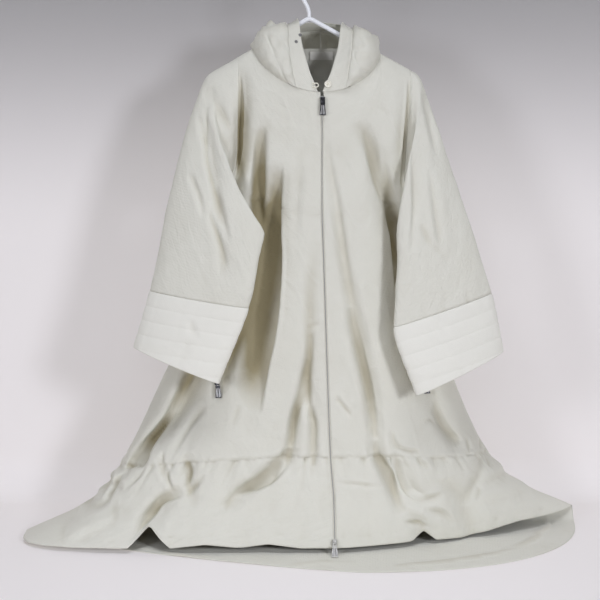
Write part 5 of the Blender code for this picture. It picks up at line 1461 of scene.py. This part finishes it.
def loop_rows(z, width, thick, recess):
    """Rows of closed loops across a plate: out along its front and home along its back."""
    q = np.array([-1, -1, -0.97, -0.9, -0.8, -0.7, -0.5, -0.3, -0.14, -0.1, 0, 0.1, 0.14, 0.3, 0.5, 0.7, 0.8,
                  0.9, 0.97, 1, 1])
    edge = np.array([0.3, 0.6, 0.92, 1, 1, 1, 1, 1, 1, 1, 1, 1, 1, 1, 1, 1, 1, 1, 0.92, 0.6, 0.3])
    x = width[:, None] * q[None]
    rim = (width[:, None] - np.abs(x)) / TAB_RIM
    ends = np.minimum(np.abs(z - z.max()), np.abs(z - z.min()))[:, None] / TAB_RIM
    sunk = recess * ease(np.minimum(rim, ends) * 3 - 2.4)
    sunk = sunk * (1 - ease(1.6 - np.abs(x) / 0.75) if recess else 1)
    y = thick[:, None] * edge[None] - sunk
    front = np.stack([x, -y, np.broadcast_to(z[:, None], x.shape)], axis=-1)
    back = np.stack([x, y, np.broadcast_to(z[:, None], x.shape)], axis=-1)[:, ::-1]
    return np.concatenate([front, back], axis=1)


def make_pull(pull):
    """Pull tab on its own body, hung on its pin as the solid is."""
    joint = next(each for each in frame["joints"] if each["name"] == pull.joint)
    points, faces, first = pull_shape()
    turn = (Matrix.Rotation(math.radians(pull.yaw), 4, "Z")
            @ Matrix.Rotation(-math.radians(pull.lean), 4, "X")).to_3x3()
    place = np.array(joint["pos_m"]) + points * MM @ np.array(turn).T
    finish = "pale_metal" if pull.node == "pull_bottom" else "metal"
    obj = new_piece(f"{pull.node}_tab", place, faces, [MATERIALS[finish], MATERIALS["metal_light"]],
                    body=pull.body, slot="metal")
    local = points[faces].mean(axis=1)
    x, y, z = np.abs(local[:, 0]), np.abs(local[:, 1]), local[:, 2]
    sunk = (faces.min(axis=1) >= first) & (z < -12.8) & (z > -TAB_LENGTH + 1.6)
    sunk &= (y < TAB_THICKNESS / 2 - 0.35) & (x > 0.9)
    obj.data.polygons.foreach_set("material_index", sunk.astype(int))
    obj.data.set_sharp_from_angle(angle=math.radians(42))
    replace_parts(obj, pull.node)


def make_moulding(name, solid, runs):
    """Round tubes of the hanger, each along a path of its own, as one piece in place of a solid."""
    tables = [closed_tube(tube(to_world(even_path(path, 2.5)), radius * MM, (0, 1, 0), 28))
              for path, radius in runs]
    obj = new_piece(name, *joined(tables), MATERIALS["hanger"], slot="hanger")
    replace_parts(obj, solid)


def make_hanger():
    """Hook, stem, arms with down-turned tips, and bar: round tubes along paths in one plane."""
    ring = HOOK_INNER_RADIUS + HOOK_RADIUS
    angles = np.radians(np.linspace(-25, 222, 90))
    hook = [(ring * math.cos(a), 0.0, HOOK_INNER_RADIUS - ring * math.sin(a)) for a in angles]
    stem = [(-12.5, 0.0, 47.0), (-7.0, 0.0, 57.0), (JUNCTION[0], 0.0, 68.0), (JUNCTION[0], 0.0, JUNCTION[1])]
    left, right = LEFT_TIP[0], RIGHT_TIP[0]
    arms = rounded_path([(left, 0, TIP_LENGTH), (left, 0, LEFT_TIP[1]), (JUNCTION[0], 0, JUNCTION[1]),
                         (right, 0, RIGHT_TIP[1]), (right, 0, TIP_LENGTH)], TIP_ROUND, 12)
    bar = rounded_path([(left, 0, BAR_END), (left, 0, BAR_DROP), (right, 0, BAR_DROP), (right, 0, BAR_END)],
                       BAR_ROUND, 12)
    make_moulding("hanger_frame", "hanger", ((hook + stem, HOOK_RADIUS), (arms, ARM_RADIUS)))
    make_moulding("hanger_cross_bar", "hanger_bar", ((bar, ARM_RADIUS * 0.9),))


def make_button(tree):
    """Button: rings of points from its middle to its rim and back, with a raised rim and sewing holes."""
    hit, normal = on_surface(tree, *BUTTON_PLACE)
    radius, half = BUTTON_DIAMETER / 2, BUTTON_THICKNESS / 2
    r = np.concatenate([np.linspace(0.02, radius - 0.8, 26), [radius - 0.4, radius - 0.1, radius]])
    angle = np.arange(72) / 72 * 2 * math.pi
    x, y = r[:, None] * np.cos(angle), r[:, None] * np.sin(angle)
    bevel = np.where(r > radius - 0.5, (r - radius + 0.5) * 1.2, 0)[:, None]
    top = half - 1.0 * ease((radius - 1.5 - r) / 0.7)[:, None] + 0 * x
    top = top - bevel
    for hole in math.pi / 4 + np.arange(BUTTON_HOLES) * math.pi / 2:
        away = np.hypot(x - BUTTON_HOLE_OUT * math.cos(hole), y - BUTTON_HOLE_OUT * math.sin(hole))
        top = top - 1.4 * ease(1.7 - away / 0.7)
    upper = np.stack([x, y, top], axis=-1)
    lower = np.stack([x, y, np.full_like(x, -half) + bevel], axis=-1)[::-1]
    rings = np.concatenate([upper, lower])
    turn = np.array(Vector(normal).to_track_quat("Z", "Y").to_matrix())
    place = hit + normal * (STRIP_GAP + half) * MM + rings * MM @ turn.T
    obj = new_piece("collar_button_face", place, grid_faces(*rings.shape[:2], True), MATERIALS["button"],
                    slot="button")
    obj.data.set_sharp_from_angle(angle=math.radians(50))
    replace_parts(obj, "collar_button")


def make_loop(tree):
    """Twisted cord loop lying on the left of the band."""
    hit, normal = on_surface(tree, *LOOP_PLACE)
    angles = np.linspace(-math.pi / 2, math.pi / 2, 24)
    bow = [(LOOP_REACH / 2 + LOOP_HALF_HEIGHT * math.cos(a), 0, LOOP_HALF_HEIGHT * math.sin(a))
           for a in angles]
    path = [(-LOOP_REACH / 2, 0, -LOOP_HALF_HEIGHT), *bow, (-LOOP_REACH / 2, 0, LOOP_HALF_HEIGHT)]
    rings = tube(even_path(path, 0.35), LOOP_RADIUS, (0, 1, 0), 18, twist=1.5, strands=3)
    rings, faces = closed_tube(rings)
    turn = (Matrix.Rotation(math.atan2(normal[0], -normal[1]), 4, "Z")
            @ Matrix.Rotation(-math.asin(normal[2]), 4, "X")).to_3x3()
    seat = hit + normal * (STRIP_GAP + LOOP_RADIUS) * MM
    place = seat + rings * np.array((1, 1, -1)) * MM @ np.array(turn).T
    obj = new_piece("button_loop_cord", place, faces[:, ::-1], MATERIALS["cord"], slot="button")
    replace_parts(obj, "button_loop")


def make_eyelets(tree):
    """Small metal rings pressed into the band, each with a disc inside it."""
    angle = np.linspace(0, 2 * math.pi, 30)
    circle = np.stack([np.cos(angle), np.sin(angle), 0 * angle], axis=-1)
    ring = tube(circle * EYELET_RADIUS + (0, 0, 0.5), EYELET_WIRE, (0, 0, 1), 12)
    disc = np.array((0.01, 1, 2.0))[:, None, None] * circle + (0, 0, 0.3)
    tables = []
    for x, y, drop in EYELETS:
        hit, normal = (np.array(v) for v in tree.find_nearest(Vector((x, y, -drop)) * MM)[:2])
        turn = np.array(Vector(normal).to_track_quat("Z", "Y").to_matrix())
        tables.append((hit + ring * MM @ turn.T, grid_faces(*ring.shape[:2], True)))
        tables.append((hit + disc * MM @ turn.T, grid_faces(*disc.shape[:2], False)))
    new_piece("hood_eyelets", *joined(tables), MATERIALS["metal_light"], slot="metal")


# Materials
def new_group(name, inputs, outputs):
    """Shader node group with named sockets; inputs are (name, kind, value)."""
    tree = bpy.data.node_groups.new(name, "ShaderNodeTree")
    for label, kind, value in inputs:
        socket = tree.interface.new_socket(label, in_out="INPUT", socket_type=kind)
        if value is not None:
            socket.default_value = value
    for label, kind in outputs:
        tree.interface.new_socket(label, in_out="OUTPUT", socket_type=kind)
    return tree, tree.nodes.new("NodeGroupInput"), tree.nodes.new("NodeGroupOutput")


def node(tree, kind, links=(), **values):
    """Node with its settings and its linked inputs."""
    made = tree.nodes.new(kind)
    for name, value in values.items():
        setattr(made, name, value)
    for socket, source in links:
        if isinstance(source, bpy.types.NodeSocket):
            tree.links.new(source, made.inputs[socket])
        else:
            made.inputs[socket].default_value = source
    return made


def math_node(tree, operation, a, b=0.0, clamp=False):
    return node(tree, "ShaderNodeMath", [(0, a), (1, b)], operation=operation, use_clamp=clamp).outputs[0]


def mixed(tree, factor, first, second, blend="MIX"):
    """Two colours mixed by a factor. Each is a socket or a plain colour."""
    links = [("Factor", factor), (6, first), (7, second)]
    return node(tree, "ShaderNodeMix", links, data_type="RGBA", blend_type=blend).outputs[2]


def give_out(tree, result, **outputs):
    """Link a group's outputs by name."""
    for label, source in outputs.items():
        tree.links.new(source, result.inputs[label])


def weave_group():
    """Plain weave over the cut: threads both ways, slubs, crinkle and a faint change of tone. Where the cloth
    is hollow, painted shade multiplies its colour by the tint of a deep fold."""
    tree, given, result = new_group(
        "plain weave",
        [("Cut", "NodeSocketVector", None), ("Tint", "NodeSocketColor", (0.8, 0.8, 0.7, 1)),
         ("Shade", "NodeSocketColor", (0.7, 0.7, 0.6, 1)), ("Threads", "NodeSocketFloat", 1200.0),
         ("Crinkle", "NodeSocketFloat", 1.0), ("Roughness", "NodeSocketFloat", 0.75),
         ("Hollow", "NodeSocketFloat", 0.0)], GROUP_OUTPUTS)
    cut, threads = given.outputs["Cut"], given.outputs["Threads"]
    apart = node(tree, "ShaderNodeSeparateXYZ", [(0, cut)])
    waves = [math_node(tree, "SINE", math_node(tree, "MULTIPLY", apart.outputs[k], threads)) for k in (0, 1)]
    weave = math_node(tree, "MULTIPLY", waves[0], waves[1])
    tone = node(tree, "ShaderNodeTexNoise", [("Vector", cut), ("Scale", 9.0), ("Detail", 3.0)])
    slub = node(tree, "ShaderNodeTexNoise", [("Vector", cut), ("Scale", 420.0), ("Detail", 2.0)])
    crinkle = node(tree, "ShaderNodeTexNoise", [("Vector", cut), ("Scale", 58.0), ("Detail", 5.0),
                                                ("Roughness", 0.55), ("Distortion", 0.6)])
    uneven = math_node(tree, "SUBTRACT", slub.outputs[0], 0.5)
    shade = math_node(tree, "MULTIPLY", math_node(tree, "SUBTRACT", tone.outputs[0], 0.42), 2.2, clamp=True)
    speck = math_node(tree, "ADD", shade, math_node(tree, "MULTIPLY", uneven, 0.5), clamp=True)
    colour = mixed(tree, speck, given.outputs["Tint"], given.outputs["Shade"])
    # Painted shade: the colour is darkened and warmed by the tint of a deep fold where the cloth is hollow
    colour = mixed(tree, given.outputs["Hollow"], colour, PAINTED_SHADE_TINT, "MULTIPLY")
    rough = math_node(tree, "ADD", given.outputs["Roughness"], math_node(tree, "MULTIPLY", uneven, 0.16))
    height = math_node(tree, "ADD", math_node(tree, "MULTIPLY", weave, 0.05),
                       math_node(tree, "MULTIPLY", crinkle.outputs[0], given.outputs["Crinkle"]))
    height = math_node(tree, "ADD", height, math_node(tree, "MULTIPLY", slub.outputs[0], 0.10))
    give_out(tree, result, Color=colour, Roughness=rough, Height=height)
    return tree


def wear_group():
    """Handling wear: fine scratches and dull patches on a hard, smooth finish."""
    tree, given, result = new_group(
        "handling wear",
        [("Place", "NodeSocketVector", None), ("Tint", "NodeSocketColor", (0.2, 0.2, 0.2, 1)),
         ("Worn", "NodeSocketColor", (0.4, 0.4, 0.4, 1)), ("Scale", "NodeSocketFloat", 900.0),
         ("Amount", "NodeSocketFloat", 0.3), ("Roughness", "NodeSocketFloat", 0.35)], GROUP_OUTPUTS)
    patch = node(tree, "ShaderNodeTexNoise", [("Vector", given.outputs["Place"]), ("Detail", 4.0),
                                              ("Scale", given.outputs["Scale"])])
    worn = math_node(tree, "MULTIPLY", math_node(tree, "SUBTRACT", patch.outputs[0], 0.5), 4.0, clamp=True)
    mask = math_node(tree, "MULTIPLY", worn, given.outputs["Amount"], clamp=True)
    colour = mixed(tree, mask, given.outputs["Tint"], given.outputs["Worn"])
    rough = math_node(tree, "ADD", given.outputs["Roughness"], math_node(tree, "MULTIPLY", mask, 0.25))
    give_out(tree, result, Color=colour, Roughness=rough, Height=patch.outputs[0])
    return tree


def new_material(name, group, inputs, coordinate, bump, sockets=()):
    """Material that places a group on a piece's own coordinates and bumps its surface a little."""
    material = bpy.data.materials.new(name)
    material.use_nodes = True
    tree = material.node_tree
    shader = tree.nodes["Principled BSDF"]
    placed = tree.nodes.new("ShaderNodeGroup")
    placed.node_tree = group
    for label, value in inputs.items():
        placed.inputs[label].default_value = value
    if coordinate == "cut":
        source = node(tree, "ShaderNodeUVMap", uv_map="cut").outputs["UV"]
        # The hollow attribute carries the cloth's painted fold shade into the group
        marks = node(tree, "ShaderNodeAttribute", attribute_name="hollow").outputs["Fac"]
        tree.links.new(marks, placed.inputs["Hollow"])
    else:
        source = node(tree, "ShaderNodeTexCoord").outputs["Object"]
    tree.links.new(source, placed.inputs[0])
    tree.links.new(placed.outputs["Color"], shader.inputs["Base Color"])
    tree.links.new(placed.outputs["Roughness"], shader.inputs["Roughness"])
    bumped = node(tree, "ShaderNodeBump", [("Height", placed.outputs["Height"]), ("Distance", bump),
                                           ("Strength", 1.0)])
    tree.links.new(bumped.outputs["Normal"], shader.inputs["Normal"])
    for label, value in sockets:
        shader.inputs[label].default_value = value
    return material


def paper_material():
    """Pale paper with a painted shade that darkens it towards its top, and a painted glow that lifts its
    shadows.
    Its back is clear, so it hides nothing from behind.
    """
    material = bpy.data.materials.new("pale paper")
    material.use_nodes = True
    tree = material.node_tree
    shader = tree.nodes["Principled BSDF"]
    shader.inputs["Roughness"].default_value = 0.9
    place = node(tree, "ShaderNodeTexCoord").outputs["Object"]
    height = node(tree, "ShaderNodeSeparateXYZ", [(0, place)]).outputs[2]
    # Painted shade: the paper's colour darkens from its lower part to its top
    rise = node(tree, "ShaderNodeMapRange", [("Value", height), ("From Min", PAPER_LIGHT_UP_TO),
                                             ("From Max", PAPER_SHADE_FROM)], interpolation_type="SMOOTHSTEP")
    tone = mixed(tree, rise.outputs[0], PAPER_LIGHT, PAPER_PAINTED_SHADE)
    tree.links.new(tone, shader.inputs["Base Color"])
    # Painted glow: the paper gives off its own colour as light, which lifts the shadows cast on it
    tree.links.new(tone, shader.inputs["Emission Color"])
    shader.inputs["Emission Strength"].default_value = PAPER_PAINTED_GLOW
    clear = tree.nodes.new("ShaderNodeBsdfTransparent")
    behind = tree.nodes.new("ShaderNodeNewGeometry").outputs["Backfacing"]
    shown = [(0, behind), (1, shader.outputs[0]), (2, clear.outputs[0])]
    one_sided = node(tree, "ShaderNodeMixShader", shown)
    tree.links.new(one_sided.outputs[0], tree.nodes["Material Output"].inputs["Surface"])
    return material


def make_materials():
    """Every finish by its short name: soft ones from the weave group, hard ones from the wear group."""
    weave, wear = weave_group(), wear_group()

    def soft(label, tint, shade, bump, coordinate="object", sockets=SOFT_SHEEN, **more):
        inputs = {"Tint": (*tint, 1), "Shade": (*shade, 1), **more}
        return new_material(label, weave, inputs, coordinate, bump, sockets)

    def hard(label, tint, worn, bump, metallic=0.0, **more):
        inputs = {"Tint": (*tint, 1), "Worn": (*worn, 1), **more}
        return new_material(label, wear, inputs, "object", bump, (("Metallic", metallic),))

    cream, cream_shade = (0.690, 0.676, 0.588), (0.660, 0.643, 0.552)
    pale, pale_shade = (0.775, 0.760, 0.680), (0.750, 0.734, 0.650)
    return {
        "cloth": soft("shell cloth", cream, cream_shade, 0.0016, "cut", Crinkle=1.0),
        "cuff": soft("stiffened cuff cloth", pale, pale_shade, 0.0009, "cut", Crinkle=0.6),
        "cloth_plain": soft("shell cloth strip", cream, cream_shade, 0.0005, Crinkle=0.3),
        "thread": soft("sewing thread", (0.80, 0.78, 0.66), (0.72, 0.70, 0.58), 0.0002, Crinkle=0.2,
                       Threads=3000.0),
        "cord": soft("loop cord", (0.82, 0.79, 0.66), (0.70, 0.67, 0.54), 0.0003, Crinkle=0.3,
                     Threads=4000.0),
        "tape": soft("zip tape", (0.66, 0.635, 0.54), (0.60, 0.57, 0.48), 0.0003, sockets=(), Crinkle=0.2,
                     Threads=4000.0),
        "label": soft("satin label", (0.84, 0.82, 0.74), (0.80, 0.78, 0.70), 0.0003, sockets=(), Crinkle=0.3,
                      Roughness=0.5),
        "teeth": hard("zip teeth", (0.36, 0.36, 0.35), (0.52, 0.52, 0.50), 0.00002, Roughness=0.35),
        "metal": hard("gunmetal", (0.05, 0.05, 0.055), (0.22, 0.22, 0.23), 0.00003, 0.9, Roughness=0.30,
                      Amount=0.35),
        "pale_metal": hard("pale plating", (0.52, 0.51, 0.47), (0.66, 0.65, 0.61), 0.00003, 0.3,
                           Roughness=0.35, Amount=0.4),
        "metal_light": hard("brushed recess", (0.27, 0.265, 0.255), (0.45, 0.45, 0.44), 0.00004, 0.6,
                            Roughness=0.40, Amount=0.5),
        "hanger": hard("white moulding", (0.88, 0.89, 0.90), (0.80, 0.80, 0.80), 0.0001, Roughness=0.32,
                       Amount=0.3, Scale=60.0),
        "button": hard("cream button", (0.82, 0.79, 0.68), (0.74, 0.70, 0.58), 0.00005, Roughness=0.28,
                       Amount=0.4, Scale=300.0),
        "stage": paper_material()}


def make_stage():
    """Table and backdrop in one sheet: level, then a quarter round, then upright."""
    radius = 0.09
    turn = np.linspace(0, math.pi / 2, 24)
    y = np.concatenate([[-2.6, -1.0], WALL_Y - radius + radius * np.sin(turn), [WALL_Y, WALL_Y]])
    z = np.concatenate([[0, 0], radius - radius * np.cos(turn), [1.0, 2.6]]) - FLOOR_DROP * MM
    x = np.linspace(-2.4, 2.4, 9)
    grid = np.stack([np.broadcast_to(x, (len(y), len(x))), np.broadcast_to(y[:, None], (len(y), len(x))),
                     np.broadcast_to(z[:, None], (len(y), len(x)))], axis=-1)
    mesh = bpy.data.meshes.new("backdrop")
    mesh.from_pydata(grid.reshape(-1, 3).tolist(), [], grid_faces(len(y), len(x), False, -1).tolist())
    mesh.shade_smooth()
    mesh.materials.append(MATERIALS["stage"])
    obj = bpy.data.objects.new("backdrop", mesh)
    bpy.context.scene.collection.objects.link(obj)


def make_lamp(lamp):
    """Soft rectangular lamp turned towards its target."""
    light = bpy.data.lights.new(lamp.name, "AREA")
    light.shape = "RECTANGLE"
    light.size, light.size_y = lamp.size
    light.energy = lamp.power
    light.color = DAYLIGHT
    light.spread = math.radians(lamp.spread)
    obj = bpy.data.objects.new(lamp.name, light)
    obj.location = lamp.place
    aim = Vector(lamp.target) - Vector(lamp.place)
    obj.rotation_euler = aim.to_track_quat("-Z", "Y").to_euler()
    bpy.context.scene.collection.objects.link(obj)


def make_camera_and_lights():
    """Camera at the photograph's angle, the lamps, and a faint warm fill from all round."""
    camera = bpy.data.cameras.new("photo camera")
    camera.lens = CAMERA_LENS
    camera.sensor_width = 36.0
    obj = bpy.data.objects.new("photo camera", camera)
    obj.location = CAMERA_PLACE
    obj.rotation_euler = (math.radians(90 - CAMERA_PITCH), 0, 0)
    bpy.context.scene.collection.objects.link(obj)
    bpy.context.scene.camera = obj
    for lamp in LAMPS:
        make_lamp(lamp)
    world = bpy.data.worlds.new("studio")
    world.use_nodes = True
    world.node_tree.nodes["Background"].inputs["Color"].default_value = WARM_FILL
    world.node_tree.nodes["Background"].inputs["Strength"].default_value = WARM_FILL_STRENGTH
    bpy.context.scene.world = world
    bpy.context.scene.view_settings.view_transform = "Standard"


MATERIALS = make_materials()
threads = []
fronts = {}
for side in (LEFT, RIGHT):
    panel = f"front_{side.name}"
    cloth, levels = make_front(side)
    fronts[panel] = cloth_piece(panel, cloth)
    threads += front_stitches(side, cloth, levels)
cloth, levels = make_back()
cloth_piece("back", cloth)
threads += hem_and_casing_stitches(cloth, levels)
for side in (LEFT, RIGHT):
    cloth_piece(f"sleeve_{side.name}", make_sleeve(side))
    cloth = make_cuff(side)
    cloth_piece(f"cuff_{side.name}", cloth, "cuff", CUFF_CLOTH)
    threads += cuff_stitches(cloth)
    cloth_piece(f"hood_{side.name}", make_hood(side))
cloth = make_band()
band = cloth_piece("hood_band", cloth, thickness=BAND_CLOTH)
threads += band_stitches(cloth)
stitches("stitching", threads, MATERIALS["thread"])
make_front_zip()
for strip in POCKET_ZIPS:
    make_pocket_zip(strip, search_tree(fronts[strip.panel]))
for pull in PULLS:
    make_pull(pull)
make_hanger()
band_surface = search_tree(band)
make_button(band_surface)
make_loop(band_surface)
make_eyelets(band_surface)
CARRIED = {"slider_top": "metal", "slider_bottom": "pale_metal", "pocket_slider_left": "metal",
           "pocket_slider_right": "metal", "neck_label": "label"}
for name, finish in CARRIED.items():
    for slot in bpy.data.objects[name].material_slots:
        slot.material = MATERIALS[finish]
make_stage()
make_camera_and_lights()
